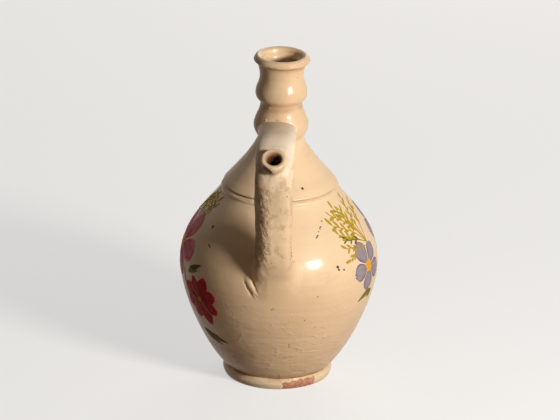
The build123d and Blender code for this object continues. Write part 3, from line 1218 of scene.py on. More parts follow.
class Strap:
    """A strap of clay swept through stations in the plane of Y and Z."""

    facet_slope = 0.9
    lump_pitch = 210.0
    lump_reach = 6.5 * MM
    lump_height = 0.6 * MM
    hand_depth = 0.30 * MM
    look_ahead = 0.1 * MM

    def __init__(self, stations: Sequence[Station]) -> None:
        """Lays a smooth curve through the stations."""
        rows = [(s.out, s.height, s.width, s.depth, s.square, s.sway, s.facet) for s in stations]
        self.curve = Spline(np.array(rows) * [MM, MM, MM, MM, 1.0, MM, MM])

    def knot(self, index: int) -> float:
        """The distance along the strap at which a station stands."""
        return float(self.curve.knots[index])

    def rails(self, start: float, stop: float, steps: int, sides: int) -> np.ndarray:
        """Lines along the strap's skin.

        Args:
            start: distance along the strap at which the lines start.
            stop: distance at which they end.
            steps: points along each line.
            sides: number of lines round the strap.

        Returns:
            Places by side and step.
        """
        turn = np.linspace(0, math.tau, sides, endpoint=False)
        cosine, sine = np.cos(turn), np.sin(turn)
        lines = np.zeros((sides, steps, 3))
        for j, place in enumerate(np.linspace(start, stop, steps)):
            out, height, width, depth, square, sway, facet = self.curve(place)
            leap = self.curve(place + self.look_ahead)[:2] - self.curve(place - self.look_ahead)[:2]
            run = leap / np.hypot(*leap)
            wide = np.sign(cosine) * np.abs(cosine) ** (2 / square) * width / 2
            thick = np.sign(sine) * np.abs(sine) ** (2 / square) * depth / 2
            facet *= 1.0 + 0.07 * math.sin(place * 190.0) + 0.04 * math.sin(place * 430.0 + 1.0)
            rubbed = depth / 2 - self.facet_slope * np.maximum(0.0, facet - (wide + width / 2))
            soft = 0.5 * max(facet, 0.0)
            thick = (thick + rubbed - np.sqrt((thick - rubbed) ** 2 + soft**2)) / 2
            lumps = [noise.noise((w * self.lump_pitch, place * self.lump_pitch, 3.0)) for w in wide]
            near = np.exp(-((wide / self.lump_reach + 1.0) ** 2)) * (sine > 0)
            near = near * min(max(facet, 0.0) / self.lump_reach, 1.0)
            thick += self.lump_height * near * np.array(lumps)
            hand = self.hand_depth * np.sin(place * 210.0 + 2.0 * turn) * np.sin(place * 83.0 + turn)
            lines[:, j, 0] = sway + wide * (1 + hand / (width / 2))
            lines[:, j, 1] = thick * run[1] - out
            lines[:, j, 2] = height + thick * run[0]
        return lines


def tube(name: str, lines: np.ndarray) -> bpy.types.Mesh:
    """A closed skin over lines that run side by side, capped at both ends."""
    sides, steps, _ = lines.shape
    points = lines.reshape(-1, 3)
    ends = np.vstack([lines[:, 0].mean(0), lines[:, -1].mean(0)])
    first = len(points)
    faces, caps = [], []
    for i in range(sides):
        a, b = i * steps, (i + 1) % sides * steps
        faces += [(a + j, b + j, b + j + 1, a + j + 1) for j in range(steps - 1)]
        caps += [(first, a, b), (first + 1, a + steps - 1, b + steps - 1)]
    return skin(name, np.vstack([points, ends]), faces + caps)


def ring(name: str, loops: np.ndarray) -> bpy.types.Mesh:
    """A closed ring of closed loops, such as a bead of clay round a joint."""
    count, size, _ = loops.shape
    faces = []
    for i in range(count):
        a, b = i * size, (i + 1) % count * size
        faces += [(a + j, b + j, b + (j + 1) % size, a + (j + 1) % size) for j in range(size)]
    return skin(name, loops.reshape(-1, 3), faces)


@dataclass(frozen=True)
class Reach:
    """How far soft clay reaches on each side of a joint, in millimetres."""

    right: float
    front: float
    left: float
    behind: float

    def __call__(self, share: float) -> float:
        """The reach in metres at a share of a turn that starts at the right and passes the front."""
        side, face = math.cos(share * math.tau), math.sin(share * math.tau)
        sideways = (self.right if side > 0 else self.left) * side * side
        return (sideways + (self.front if face > 0 else self.behind) * face * face) * MM


@dataclass
class Luting:
    """Soft clay in the corner between a limb and the wall that it stands on."""

    wall: BVHTree
    limb: BVHTree
    up_limb: Reach
    along_wall: Reach
    pull: float = 0.62
    steps: int = 18
    sunk: float = 0.05 * MM
    buried: float = 1.2 * MM

    def contact(self, lines: np.ndarray) -> np.ndarray:
        """The places where the limb's lines first meet the wall."""
        found = []
        for line in lines:
            for here, there in zip(line[:-1], line[1:]):
                leap = Vector(there - here)
                hit = self.wall.ray_cast(Vector(here), leap.normalized(), leap.length)
                if hit[0] is not None:
                    found.append(hit[0])
                    break
            else:
                found.append(Vector(line[-1]))
        return np.array(found)

    def mesh(self, name: str, lines: np.ndarray) -> bpy.types.Mesh:
        """Builds the bead of clay round the whole joint.

        Args:
            name: the mesh's name.
            lines: the limb's lines, from its free end into the wall.

        Returns:
            A closed ring whose skin runs on from the limb and from the wall.
        """
        corner = self.contact(lines)
        count = len(corner)
        loops = []
        for i in range(count):
            share = i / count
            here = Vector(corner[i])
            run = Vector(corner[(i + 1) % count] - corner[i - 1]).normalized()
            wall_up = self.wall.find_nearest(here)[1]
            limb_up = self.limb.find_nearest(here)[1]
            away = wall_up.cross(run).normalized()
            away = away if away.dot(limb_up) > 0 else -away
            climb = limb_up.cross(run).normalized()
            climb = climb if climb.dot(wall_up) > 0 else -climb
            top = self.limb.find_nearest(here + climb * self.up_limb(share))[:2]
            toe = self.wall.find_nearest(here + away * self.along_wall(share))[:2]
            loops.append(self.loop(here, top, toe, limb_up + wall_up))
        return ring(name, np.array(loops))

    def loop(
        self, here: Vector, top: tuple[Vector, Vector], toe: tuple[Vector, Vector], outward: Vector
    ) -> list[tuple]:
        """One closed section through the bead."""
        pulls = []
        for spot, up in (top, toe):
            pull = here - spot
            pulls.append((pull - up * pull.dot(up)) * self.pull)
        start, end = top[0] - top[1] * self.sunk, toe[0] - toe[1] * self.sunk
        first, second = start + pulls[0], end + pulls[1]
        loop = []
        for t in np.linspace(0, 1, self.steps):
            near = start * (1 - t) ** 3 + first * 3 * t * (1 - t) ** 2
            loop.append(near + second * 3 * t * t * (1 - t) + end * t**3)
        loop.append(end - toe[1] * self.buried)
        loop.append(here - outward.normalized() * self.buried)
        loop.append(start - top[1] * self.buried)
        return [tuple(p) for p in loop]


@dataclass
class Handle:
    """The arm from the neck, the hollow stem to the belly, their luting and the nozzle."""

    body: ThrownBody
    laying: LayingTree
    sides: int = 72
    arm_steps: int = 60
    stem_steps: int = 150
    arm_stations: tuple[Station, ...] = (
        Station(13.4, 241.0, 35.0, 15.0, 2.0, -2.6),
        Station(34.4, 248.0, 34.0, 13.0, 2.0, -1.6),
        Station(64.9, 253.0, 34.0, 12.8, 2.05),
    )
    stem_stations: tuple[Station, ...] = (
        Station(85.4, 250.5, 34.0, 15.25, 2.15, 0.0, 1.5),
        Station(104.4, 232.5, 34.0, 18.0, 2.15, 0.0, 4.5),
        Station(100.2, 192.25, 34.0, 18.0, 2.1, 0.0, 7.5),
        Station(96.0, 152.0, 34.0, 18.0, 2.1, 0.0, 7.5),
        Station(88.0, 136.0, 39.0, 23.0, 2.15, 0.0, 5.0),
        Station(76.0, 118.0, 44.0, 28.0, 2.3),
    )
    arm_clay: tuple[Reach, Reach] = (Reach(1.8, 1.4, 1.8, 5.0), Reach(1.2, 1.0, 1.5, 4.0))
    stem_clay: tuple[Reach, Reach] = (Reach(8.0, 17.0, 2.2, 4.0), Reach(6.5, 20.0, 1.4, 4.0))
    collar_clay: tuple[Reach, Reach] = (Reach(3.0, 4.0, 3.0, 4.0), Reach(4.0, 4.0, 4.0, 6.0))
    channel_radius: float = 4.2 * MM
    channel_shares: tuple[float, ...] = (0.10, 0.22, 0.42, 0.62, 0.78)
    channel_end: Pair = (66.0, 108.0)
    channel_steps: int = 74
    channel_sides: int = 22
    nozzle: NozzleAxis = NozzleAxis()
    bore: float = 5.6 * MM
    nozzle_wall: float = 3.4 * MM
    nozzle_foot: float = -2.0 * MM
    nozzle_oval: float = 0.025
    nozzle_lobes: float = 0.015
    mouth: float = 7.1 * MM
    lip: float = 4.7 * MM
    pieces: dict[str, bpy.types.Object] = field(default_factory=dict)

    def build(self, worn: bpy.types.Material, glaze: bpy.types.Material) -> None:
        """Makes the five pieces, the nozzle's collar and the finger fold, and hands them over."""
        strap = Strap(self.arm_stations + self.stem_stations)
        joint = strap.knot(len(self.arm_stations))
        arm_lines = strap.rails(0.0, joint, self.arm_steps, self.sides)
        stem_lines = strap.rails(joint, strap.curve.length, self.stem_steps, self.sides)
        neck, belly = wall_of(self.body.pieces["neck"]), wall_of(self.body.pieces["belly_wall"])
        arm = self.made("handle_arm", tube("handle_arm", arm_lines), worn)
        stem = self.made("handle_stem", tube("handle_stem", stem_lines), worn)
        clay = Luting(neck, arm, *self.arm_clay)
        self.made("arm_luting", clay.mesh("arm_luting", arm_lines[:, ::-1]), worn)
        clay = Luting(belly, stem, *self.stem_clay)
        self.made("stem_luting", clay.mesh("stem_luting", stem_lines), worn)
        nozzle = self.made("spout_nozzle", self.nozzle_mesh(), worn)
        clay = Luting(stem, nozzle, *self.collar_clay)
        collar = new_piece("nozzle_collar", clay.mesh("nozzle_collar", self.nozzle_lines()), worn)
        self.drill(self.pieces["handle_stem"], strap)
        for node, piece in self.pieces.items():
            hand_over(piece, Slot.CREAM_GLAZE, node)
        hand_over(collar, Slot.CREAM_GLAZE)
        hand_over(self.finger_fold(glaze), Slot.CREAM_GLAZE)

    def made(self, node: str, mesh: bpy.types.Mesh, finish: bpy.types.Material) -> BVHTree:
        """Keeps one piece and returns its surface."""
        self.pieces[node] = new_piece(f"glazed_{node}", mesh, finish)
        return wall_of(self.pieces[node])

    def finger_fold(self, glaze: bpy.types.Material) -> bpy.types.Object:
        """A ridge that a finger pressed up beside the stem's root."""
        fold = Stroke.leaf(-7.0, 12.6, math.radians(-62.0), 28.0, 11.0, 0.12)
        flat = Flat([fold], lift=-0.05 * MM, sunk=0.6 * MM, crown=1.7 * MM, rows=25, columns=17)
        values = {"Wall": self.body.pieces["belly_wall"], "Finish": glaze, **Spot(-12.4, 116.0).frame()}
        return self.laying.run("finger_fold", flat.mesh("finger_fold"), values)

    def nozzle_mesh(self) -> bpy.types.Mesh:
        """A short trumpet with a thick, uneven lip round its bore."""
        reach, lip_out = self.nozzle.reach, self.mouth + self.lip
        outside = self.bore + self.nozzle_wall
        outline = (
            Profile(self.bore, self.nozzle_foot)
            .line(outside, self.nozzle_foot)
            .line(outside, 4.0 * MM, 4)
            .bow(lip_out, reach - 5.2 * MM, ((0.0, 0.45), (0.05, 0.45)), 10)
            .round((lip_out - 0.2 * MM, reach - 1.2 * MM), (lip_out - self.lip / 2, reach), 10)
            .round((self.mouth + 0.2 * MM, reach - 0.7 * MM), (self.mouth - 0.5 * MM, reach - 2.4 * MM), 8)
            .bow(self.bore, reach - 5.0 * MM, ((0.3, 0.5), (0.0, 0.4)), 6)
            .line(self.bore, self.nozzle_foot, 5)
        )
        return ring("spout_nozzle", self.spun(outline.points[:-1]))

    def nozzle_lines(self) -> np.ndarray:
        """Lines down the nozzle's outside, from the lip to well inside the stem."""
        radius = self.bore + self.nozzle_wall
        return self.spun([(radius, h * MM) for h in np.linspace(10.0, -14.0, 40)])

    def spun(self, outline: Sequence[Pair]) -> np.ndarray:
        """An outline of radius and height taken round the nozzle's axis, with the waver of a hand."""
        root, axis, side = self.nozzle.root, self.nozzle.axis, self.nozzle.over
        loops = []
        for turn in np.linspace(0, math.tau, self.sides, endpoint=False):
            oval = self.nozzle_oval * (1 + math.sin(2 * turn + 0.6)) / 2
            waver = 1.0 - oval - self.nozzle_lobes * (1 + math.sin(5 * turn)) / 2
            spoke = Vector((math.cos(turn), 0.0, 0.0)) + side * math.sin(turn)
            loops.append([tuple(root + axis * h + spoke * r * waver) for r, h in outline])
        return np.array(loops)

    def drill(self, stem: bpy.types.Object, strap: Strap) -> None:
        """Cuts the water's channel from the nozzle down the middle of the stem into the belly."""
        width = 2 * self.channel_radius / MM
        spots = [self.nozzle.root + self.nozzle.axis * h for h in (self.nozzle.reach, 9.0 * MM, 3.0 * MM)]
        places = [(-spot.y / MM, spot.z / MM) for spot in spots]
        elbow, root = strap.knot(len(self.arm_stations) + 1), strap.curve.length
        places += [tuple(strap.curve(elbow + (root - elbow) * s)[:2] / MM) for s in self.channel_shares]
        places.append(self.channel_end)
        channel = Strap([Station(out, height, width, width, 2.0) for out, height in places])
        lines = channel.rails(0.0, channel.curve.length, self.channel_steps, self.channel_sides)
        cutter = new_piece("channel", tube("channel", lines), stem.data.materials[0])
        cut = stem.modifiers.new("channel", "BOOLEAN")
        cut.operation, cut.solver, cut.object = "DIFFERENCE", "EXACT", cutter
        apply(stem, cut)
        weld(stem.data)
        stem.data.set_sharp_from_angle(angle=SHARP_CORNER)
        bpy.data.objects.remove(cutter)


class Petal(Enum):
    """The outlines of the painted petals."""

    ROUND = "round"
    NOTCHED = "notched"
    FRILLED = "frilled"
    LEAF = "leaf"


@dataclass(frozen=True)
class Stroke:
    """One filled brush stroke on the flat, from its root towards its tip."""

    form: Petal
    root: Pair
    heading: float
    length: float
    width: float
    bend: float = 0.0

    @classmethod
    def leaf(cls, x: float, y: float, heading: float, length: float, width: float, bend: float) -> "Stroke":
        """A stroke that is pointed at both ends, with its sizes in millimetres."""
        return cls(Petal.LEAF, (x * MM, y * MM), heading, length * MM, width * MM, bend)

    def outline_share(self, t: np.ndarray) -> np.ndarray:
        """Half the width along the stroke, as a share of its greatest."""
        if self.form is Petal.LEAF:
            return np.sin(np.pi * np.clip(t, 0, 1) ** 0.8) ** 0.85
        fullness = 0.36 if self.form is Petal.FRILLED else 0.62
        return np.clip(np.sin(np.pi * (0.04 + 0.93 * t) ** 1.5), 0.0, 1.0) ** fullness

    def tip_share(self, s: np.ndarray) -> np.ndarray:
        """How far the stroke reaches along each of its lines, as a share of its length."""
        if self.form is Petal.NOTCHED:
            return 1.0 - 0.13 * np.exp(-((s / 0.22) ** 2)) - 0.05 * np.abs(s) ** 3
        if self.form is Petal.FRILLED:
            return 1.0 - 0.10 * np.abs(np.sin(s * 4.7)) - 0.08 * np.abs(s) ** 3
        return np.ones_like(s)

    def grid(self, rows: int, columns: int) -> tuple[np.ndarray, np.ndarray]:
        """Points of the stroke and its own map.

        Args:
            rows: points along the stroke.
            columns: points across it.

        Returns:
            Flat places by row and column, and (along, across) for each.
        """
        t, s = np.meshgrid(np.linspace(0, 1, rows), np.linspace(-1, 1, columns), indexing="ij")
        along = t * self.length * self.tip_share(s)
        across = s * self.outline_share(t) * self.width / 2
        turn = self.heading + self.bend * t
        x = self.root[0] + along * np.cos(turn) - across * np.sin(turn)
        y = self.root[1] + along * np.sin(turn) + across * np.cos(turn)
        return np.stack([x, y], -1), np.stack([t, (s + 1) / 2], -1)


@dataclass
class Flat:
    """Strokes on a flat sheet, each a thin closed patch of paint and a little over the one before."""

    strokes: Sequence[Stroke]
    lift: float = 0.10 * MM
    sunk: float = 0.30 * MM
    crown: float = 0.0
    rows: int = 15
    columns: int = 11
    step: float = 0.12

    def mesh(self, name: str) -> bpy.types.Mesh:
        """All strokes as one mesh, with height over the flat in Z and a UV map along each stroke."""
        points, faces, maps = [], [], []
        for order, stroke in enumerate(self.strokes):
            flat, own = stroke.grid(self.rows, self.columns)
            faces += self.patch(len(points))
            dome = np.sin(np.pi * own[..., 0]) ** 1.5 * (1 - (2 * own[..., 1] - 1) ** 2) ** 2
            top = self.lift * (1.0 + self.step * order) + self.crown * dome
            for level in (top, np.full_like(top, -self.sunk)):
                points += [*np.concatenate([flat, level[..., None]], -1).reshape(-1, 3)]
                maps += [tuple(m) for m in own.reshape(-1, 2)]
        mesh = plain_mesh(name, points, [], faces)
        layer = mesh.uv_layers.new(name="UVMap")
        corners = np.array([maps[loop.vertex_index] for loop in mesh.loops], np.float32)
        layer.data.foreach_set("uv", corners.ravel())
        weld(mesh)
        return mesh

    def patch(self, first: int) -> list[tuple[int, ...]]:
        """Faces of one closed patch: its top, its bottom and the thin wall between."""
        size = self.rows * self.columns
        grid = first + np.arange(size).reshape(self.rows, self.columns)
        faces = []
        for i in range(self.rows - 1):
            for j in range(self.columns - 1):
                quad = (grid[i, j], grid[i + 1, j], grid[i + 1, j + 1], grid[i, j + 1])
                faces += [quad, tuple(k + size for k in reversed(quad))]
        edge = [*grid[0], *grid[1:, -1], *grid[-1, -2::-1], *grid[-2:0:-1, 0]]
        faces += [(a, b, b + size, a + size) for a, b in zip(edge, edge[1:] + edge[:1])]
        return [tuple(int(k) for k in face) for face in faces]


@dataclass(frozen=True)
class Spot:
    """A place on the belly: an angle round the jug in degrees and a height in millimetres."""

    angle: float
    height: float

    def frame(self) -> dict[str, Triple]:
        """A flat sheet in front of the place, square to the wall's rough direction."""
        turn = math.radians(self.angle)
        outward = Vector((math.sin(turn), -math.cos(turn), 0.0))
        right = (math.cos(turn), math.sin(turn), 0.0)
        centre = outward * SHEET_OUT + Vector((0.0, 0.0, self.height * MM))
        return {"Centre": tuple(centre), "Right": right, "Up": (0.0, 0.0, 1.0), "Out": tuple(outward)}


@dataclass(frozen=True)
class Flower:
    """A painted flower round a yellow heart, sizes in millimetres."""

    name: str
    spot: Spot
    colour: Palette
    form: Petal
    length: float
    width: float
    first: float
    heart: float
    count: int = 5

    def root(self, share: float, heading: float) -> Pair:
        """A place at a share of the heart's size from its middle."""
        reach = self.heart * share * MM
        return reach * math.cos(heading), reach * math.sin(heading)

    def petals(self) -> list[Stroke]:
        """The petals, no two quite alike."""
        strokes = []
        for i in range(self.count):
            heading = math.radians(self.first + 360.0 / self.count * i)
            share = 1.0 - 0.07 * math.sin(2.3 * i + self.first)
            size = (self.length * share * MM, self.width * share * MM)
            strokes.append(Stroke(self.form, self.root(0.45, heading), heading, *size))
        return strokes

    def dabs(self) -> list[Stroke]:
        """Short dabs that fill the heart."""
        size = self.heart * MM
        headings = [math.radians(40.0 * i + 10.0) for i in range(9)]
        return [Stroke(Petal.LEAF, (0.0, 0.0), heading, size, size * 0.55) for heading in headings]

    def lines(self) -> list[Stroke]:
        """Two thin pale lines that cross the flower between its petals."""
        headings = [math.radians(self.first + 110.0 + 180.0 * i) for i in range(2)]
        size = (self.length * 0.75 * MM, 0.9 * MM)
        return [Stroke(Petal.LEAF, self.root(0.8, heading), heading, *size, 0.08) for heading in headings]


@dataclass(frozen=True)
class Leaves:
    """Leaves of one paint on one sheet."""

    name: str
    spot: Spot
    colour: Palette
    strokes: tuple[Stroke, ...]
    lift: float = 0.10 * MM


@dataclass(frozen=True)
class Fern:
    """A sprig: the points that each stem bends through from its root, in millimetres on the sheet."""

    name: str
    spot: Spot
    colour: Palette
    stems: tuple[tuple[Pair, ...], ...]


FORK, LOW_FORK, CORNER = (7.0, -10.0), (2.0, -12.0), (-18.0, -10.0)


@dataclass
class Decoration:
    """The painted flowers, leaves and sprigs on the belly, and the marks of firing and use."""

    body: ThrownBody
    handle: Handle
    laying: LayingTree
    sprigs: SprigTree
    specks: SpeckTree
    glaze: bpy.types.Material
    paints: dict[Palette, bpy.types.Material] = field(default_factory=dict)
    heart_lift: float = 0.24 * MM
    line_lift: float = 0.26 * MM
    spot_height: float = 0.22 * MM
    lump_height: float = 0.8 * MM
    stem_points: int = 16
    seed: int = 11
    flowers: tuple[Flower, ...] = (
        Flower("lilac", Spot(68.5, 120.0), Palette.LILAC, Petal.NOTCHED, 21.5, 17.0, 46.0, 6.4),
        Flower("far_lilac", Spot(106.0, 138.0), Palette.LILAC, Petal.NOTCHED, 22.0, 17.5, 27.0, 6.0),
        Flower("pink", Spot(-80.0, 131.0), Palette.PINK, Petal.ROUND, 27.0, 20.5, 66.0, 6.5),
        Flower("red", Spot(-51.0, 90.0), Palette.RED, Petal.FRILLED, 23.5, 13.5, 22.0, 3.0, 8),
    )
    leaves: tuple[Leaves, ...] = (
        Leaves("left_leaf", Spot(-55.0, 117.5), Palette.LEAF, (
            Stroke.leaf(-11.0, -5.5, 0.52, 18.0, 5.2, -0.2),
        )),
        Leaves("left_leaf_shade", Spot(-55.0, 117.5), Palette.DEEP_LEAF, (
            Stroke.leaf(-9.0, -1.0, 0.26, 20.0, 4.4, 0.12),
        ), 0.2 * MM),
        Leaves("left_stalk", Spot(-68.0, 92.0), Palette.SPRIG, (
            Stroke.leaf(1.0, 24.0, -1.62, 52.0, 4.0, 0.35),
        )),
        Leaves("low_leaf", Spot(-47.0, 50.0), Palette.OLIVE, (
            Stroke.leaf(-15.0, 6.5, -0.34, 32.0, 6.0, 0.12),
            Stroke.leaf(-14.0, 4.5, -0.50, 24.0, 5.0, 0.10),
        )),
        Leaves("right_leaf", Spot(67.0, 88.0), Palette.LEAF, (
            Stroke.leaf(12.0, 4.0, 2.85, 26.0, 7.0, 0.45),
            Stroke.leaf(11.0, 5.0, 3.7, 9.0, 5.5, 0.2),
        )),
    )
    ferns: tuple[Fern, ...] = (
        Fern("right_sprig", Spot(69.5, 149.0), Palette.SPRIG, (
            (FORK, (-3.0, 6.0), (-20.0, 20.0)),
            (FORK, (-6.0, 2.0), (-25.0, 12.5)),
            (FORK, (-4.0, 9.0), (-12.0, 24.0)),
            (FORK, (-8.0, -3.0), (-25.0, 5.0)),
            (LOW_FORK, (-12.0, -9.0), (-25.0, -7.0)),
            (LOW_FORK, (-14.0, -12.0), (-25.0, -17.0)),
            (FORK, (-2.0, 10.0), (-5.0, 21.0)),
            (FORK, (4.0, 9.0), (10.0, 25.0)),
            (FORK, (12.0, 5.0), (20.0, 19.0)),
        )),
        Fern("green_sprig", Spot(69.5, 149.0), Palette.LEAF, (
            (FORK, (-7.0, -4.0), (-21.0, -1.0)),
        )),
        Fern("left_sprig", Spot(-84.0, 163.0), Palette.SPRIG, (
            (CORNER, (-2.0, -1.0), (18.0, 4.0)),
            (CORNER, (-4.0, 3.0), (15.0, 9.0)),
            (CORNER, (-6.0, 3.0), (8.0, 12.0)),
            (CORNER, (-10.0, 3.0), (0.0, 13.0)),
            (CORNER, (0.0, -5.0), (16.0, -3.0)),
        )),
    )

    def build(self) -> None:
        """Paints both sides, then adds the marks."""
        self.paints = {colour: colour.value.material() for colour in Palette}
        for flower in self.flowers:
            self.lay(f"{flower.name}_petals", flower.spot, Flat(flower.petals()), flower.colour)
            heart = Flat(flower.dabs(), self.heart_lift)
            self.lay(f"{flower.name}_heart", flower.spot, heart, Palette.HEART)
        red = self.flowers[-1]
        self.lay("red_lines", red.spot, Flat(red.lines(), self.line_lift), Palette.LINE)
        for leaves in self.leaves:
            self.lay(leaves.name, leaves.spot, Flat(leaves.strokes, leaves.lift), leaves.colour)
        for fern in self.ferns:
            self.grow(fern)
        self.marks()

    def sheet(self, spot: Spot, colour: Palette) -> dict[str, Any]:
        """The inputs that lay paint on the belly."""
        return {"Wall": self.body.pieces["belly_wall"], "Finish": self.paints[colour], **spot.frame()}

    def lay(self, name: str, spot: Spot, flat: Flat, colour: Palette) -> None:
        """Lays strokes of one colour on the belly."""
        hand_over(self.laying.run(name, flat.mesh(name), self.sheet(spot, colour)), None)

    def grow(self, fern: Fern) -> None:
        """Paints a fern sprig."""
        points, edges = [], []
        for stem in fern.stems:
            curve = Spline(np.array(stem) * MM)
            first = len(points)
            points += [(*curve(t), 0.0) for t in np.linspace(0, curve.length, self.stem_points)]
            edges += [(i, i + 1) for i in range(first, len(points) - 1)]
        values = {
            **self.sheet(fern.spot, fern.colour),
            "Stroke": 0.40 * MM,
            "Leaf Pitch": 2.9 * MM,
            "Leaf Length": 6.6 * MM,
            "Leaf Width": 2.4 * MM,
            "Lift": 0.16 * MM,
            "Spread": 0.62,
            "Bare Share": 0.42,
        }
        hand_over(self.sprigs.run(fern.name, plain_mesh(fern.name, points, edges, []), values), None)

    def marks(self) -> None:
        """Sets pinholes, iron spots and smoke dots where firing and use left them."""
        chance = np.random.default_rng(self.seed)
        near_stem = [(30.0 + 10.0 * t + chance.random(), 156.0 + 12.0 * t, 1.5) for t in chance.random(11)]
        by_sprig = [(61.0 + 5.0 * chance.random(), 133.0 + 22.0 * t, 1.3) for t in chance.random(16)]
        low = [(-10.0 + 60.0 * chance.random(), 35.0 + 60.0 * t, 0.65) for t in chance.random(8)]
        self.dot("shoulder_pinhole", "shoulder", Palette.IRON, [(29.7, 194.5, 2.8)])
        self.dot("belly_spots", "belly_wall", Palette.IRON, [
            (-53.1, 156.1, 3.2), (40.7, 130.2, 3.2), (41.2, 127.6, 2.4), (44.9, 126.4, 2.2),
            (-0.5, 95.9, 1.4), (0.4, 97.0, 1.0), (26.2, 106.8, 1.2), (-46.6, 141.6, 2.3),
            (-48.0, 142.6, 2.2), (10.9, 56.5, 1.2), (10.9, 54.8, 1.3), (11.1, 53.0, 1.1),
            (19.2, 83.6, 1.3), (26.8, 74.4, 1.2), (29.9, 18.2, 1.4),
            *low,
        ])
        self.dot("smoke_dots", "belly_wall", Palette.SMOKE, [*near_stem, *by_sprig])
        self.dot("stem_pits", "handle_stem", Palette.IRON, [
            (9.3, 164.0, 1.0), (9.2, 161.2, 1.5), (9.4, 158.6, 1.2), (9.6, 155.2, 1.7), (9.5, 152.4, 1.3),
            (9.1, 149.6, 1.0), (6.4, 214.0, 1.2), (-0.6, 146.0, 0.9),
        ])
        self.dot("neck_pimples", "neck", None, [(-31.0, 262.0, 2.6), (-36.0, 251.0, 2.8)])
        self.dot("rim_pinholes", "mouth_rim", Palette.IRON, [
            (-25.0, 303.5, 1.2), (88.0, 303.5, 1.5), (30.0, 302.0, 0.8),
        ])
        self.dot("neck_spots", "neck", Palette.IRON, [
            (48.0, 291.0, 1.0), (46.0, 271.0, 0.9), (18.0, 297.0, 0.8),
        ])

    def dot(self, name: str, wall: str, colour: Optional[Palette], spots: Sequence[Triple]) -> None:
        """Sets spots on one wall.

        Args:
            name: what the spots are called.
            wall: the piece that they are on.
            colour: their paint, or none for lumps in the glaze itself.
            spots: angle in degrees, height and width in millimetres.
        """
        loose = plain_mesh(name, [(math.radians(a), h * MM, w * MM) for a, h, w in spots], [], [])
        values = {
            "Wall": {**self.body.pieces, **self.handle.pieces}[wall],
            "Thickness": self.spot_height if colour else self.lump_height,
            "Finish": self.paints[colour] if colour else self.glaze,
        }
        hand_over(self.specks.run(name, loose, values), None)


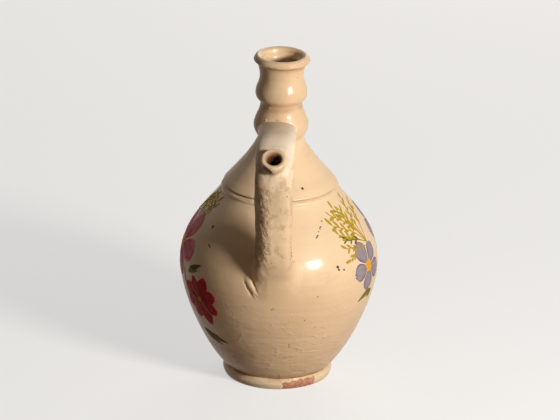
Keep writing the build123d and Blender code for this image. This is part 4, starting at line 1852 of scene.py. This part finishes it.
@dataclass
class Studio:
    """Floor, light and the camera at the photograph's angle."""

    elevation: float = math.radians(21.5)
    azimuth: float = math.radians(3.0)
    roll: float = math.radians(0.9)
    distance: float = 4.5
    lens: float = 317.25
    sensor: float = 36.0
    view_end: float = 40.0
    target: Triple = (0.0, 0.0, 0.155)
    aim_right: float = 0.36 * MM
    aim_up: float = 2.28 * MM
    key_direction: Triple = (0.675, -0.645, 0.357)
    key_distance: float = 1.6
    key_size: Pair = (0.34, 0.18)
    key_power: float = 28.5
    key_tint: Colour = (1.0, 0.97, 0.92)
    halo_size: Pair = (0.62, 0.25)
    halo_power: float = 17.0
    halo_tint: Colour = (1.0, 0.98, 0.95)
    fill_place: Triple = (-1.15, 0.85, 1.05)
    fill_size: Pair = (1.1, 1.1)
    fill_power: float = 2.5
    back_place: Triple = (0.30, 1.70, 1.00)
    back_size: Pair = (1.2, 1.2)
    back_power: float = 12.0
    soft_tint: Colour = (1.0, 0.96, 0.92)
    ambient: float = 0.052
    backdrop: float = 0.70
    pale_room: Colour = (1.0, 0.95, 0.89)
    warm_room: Colour = (1.0, 0.83, 0.64)
    floor_half: float = 8.0
    floor_seen: tuple[Colour, Colour] = ((0.90, 0.89, 0.87), (0.86, 0.85, 0.83))
    floor_unseen: tuple[Colour, Colour] = ((0.17, 0.108, 0.064), (0.15, 0.095, 0.056))
    floor_glow: Colour = (0.97, 0.965, 0.955)
    glow_share: float = 0.58

    def build(self) -> None:
        """Sets up the whole stage."""
        self.floor()
        self.light()
        self.camera()
        bpy.context.scene.view_settings.view_transform = "Standard"

    def floor(self) -> None:
        """A wide pale floor that keeps the jug's shadow."""
        bench = MaterialBench("pale_floor")
        cloud = bench.noise(bench.place(), 3.0, 2.0) * 0.25
        dull = bench.surface(Base_Color=bench.mix(cloud, *self.floor_unseen), Roughness=0.9)
        pale = bench.surface(Base_Color=bench.mix(cloud, *self.floor_seen), Roughness=0.9)
        glow = bench.add("ShaderNodeEmission", {"Color": self.floor_glow, "Strength": 1.0})[0]
        lit = bench.add("ShaderNodeMixShader", {0: self.glow_share, 1: pale, 2: glow})[0]
        both = bench.add("ShaderNodeMixShader", {0: self.seen(bench), 1: dull, 2: lit})[0]
        half = self.floor_half
        corners = np.array([(-half, -half, 0.0), (half, -half, 0.0), (half, half, 0.0), (-half, half, 0.0)])
        floor = new_piece("floor", skin("floor", corners, [(0, 1, 2, 3)]), bench.finish(both))

    def seen(self, bench: NodeBench) -> Signal:
        """1 for rays that show the background itself, 0 for those that light the jug."""
        path = bench.add("ShaderNodeLightPath")
        return path["Is Camera Ray"].maximum(path["Is Glossy Ray"]).maximum(path["Is Transmission Ray"])

    def light(self) -> None:
        """A key and its halo in the gloss from the right front, weak light behind, and a pale room."""
        place = Vector(self.target) + Vector(self.key_direction).normalized() * self.key_distance
        self.lamp("key", place, self.key_size, self.key_power, self.key_tint)
        halo = self.lamp("halo", place, self.halo_size, self.halo_power, self.halo_tint)
        halo.visible_diffuse = False
        self.lamp("fill", Vector(self.fill_place), self.fill_size, self.fill_power, self.soft_tint)
        self.lamp("back", Vector(self.back_place), self.back_size, self.back_power, self.soft_tint)
        world = bpy.data.worlds.new("room")
        world.use_nodes = True
        bpy.context.scene.world = world
        bench = NodeBench(world.node_tree)
        bench.tree.nodes.clear()
        seen = self.seen(bench)
        strength = self.ambient + seen * (self.backdrop - self.ambient)
        tint = bench.mix(seen, self.warm_room, self.pale_room)
        room = bench.add("ShaderNodeBackground", {"Color": tint, "Strength": strength})[0]
        bench.add("ShaderNodeOutputWorld", {"Surface": room})

    def lamp(self, name: str, place: Vector, size: Pair, power: float, tint: Colour) -> bpy.types.Object:
        """A rectangular soft light that faces the jug."""
        lamp = bpy.data.lights.new(name, "AREA")
        lamp.shape, lamp.size, lamp.size_y = "RECTANGLE", *size
        lamp.energy, lamp.color = power, tint
        holder = linked(name, lamp)
        holder.location = place
        holder.rotation_euler = (place - Vector(self.target)).to_track_quat("Z", "Y").to_euler()
        return holder

    def camera(self) -> None:
        """A long lens far off, turned as the photograph is."""
        e, a, r = self.elevation, self.azimuth, self.roll
        back = Vector((math.sin(a) * math.cos(e), -math.cos(a) * math.cos(e), math.sin(e)))
        right = Vector((math.cos(a), math.sin(a), 0.0))
        up = back.cross(right)
        aim = Vector(self.target) + right * self.aim_right + up * self.aim_up
        lens = bpy.data.cameras.new("camera")
        lens.lens, lens.sensor_width, lens.clip_end = self.lens, self.sensor, self.view_end
        camera = linked("camera", lens)
        columns = [right * math.cos(r) + up * math.sin(r), up * math.cos(r) - right * math.sin(r), back]
        turn = Matrix([[c[i] for c in columns] for i in range(3)]).to_4x4()
        camera.matrix_world = Matrix.Translation(aim + back * self.distance) @ turn
        bpy.context.scene.camera = camera


def dress_base() -> None:
    """Gives the CAD's own base disc its bare clay."""
    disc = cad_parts["base_disc"]
    disc.data.materials.clear()
    disc.data.materials.append(BareClay().material())
    log.info("base_disc: the CAD node in bare clay")


def main() -> None:
    """Builds the jug piece by piece, then the stage."""
    logging.basicConfig(level=logging.INFO, format="%(name)s: %(message)s")
    glaze = Glaze().material()
    worn = WornGlaze().material()
    foot_glaze = ChippedGlaze().material()
    body = ThrownBody(TurningTree())
    body.build(glaze, foot_glaze)
    dress_base()
    laying = LayingTree()
    handle = Handle(body, laying)
    handle.build(worn, glaze)
    Decoration(body, handle, laying, SprigTree(), SpeckTree(), glaze).build()
    Studio().build()


if __name__ == "__main__":
    main()
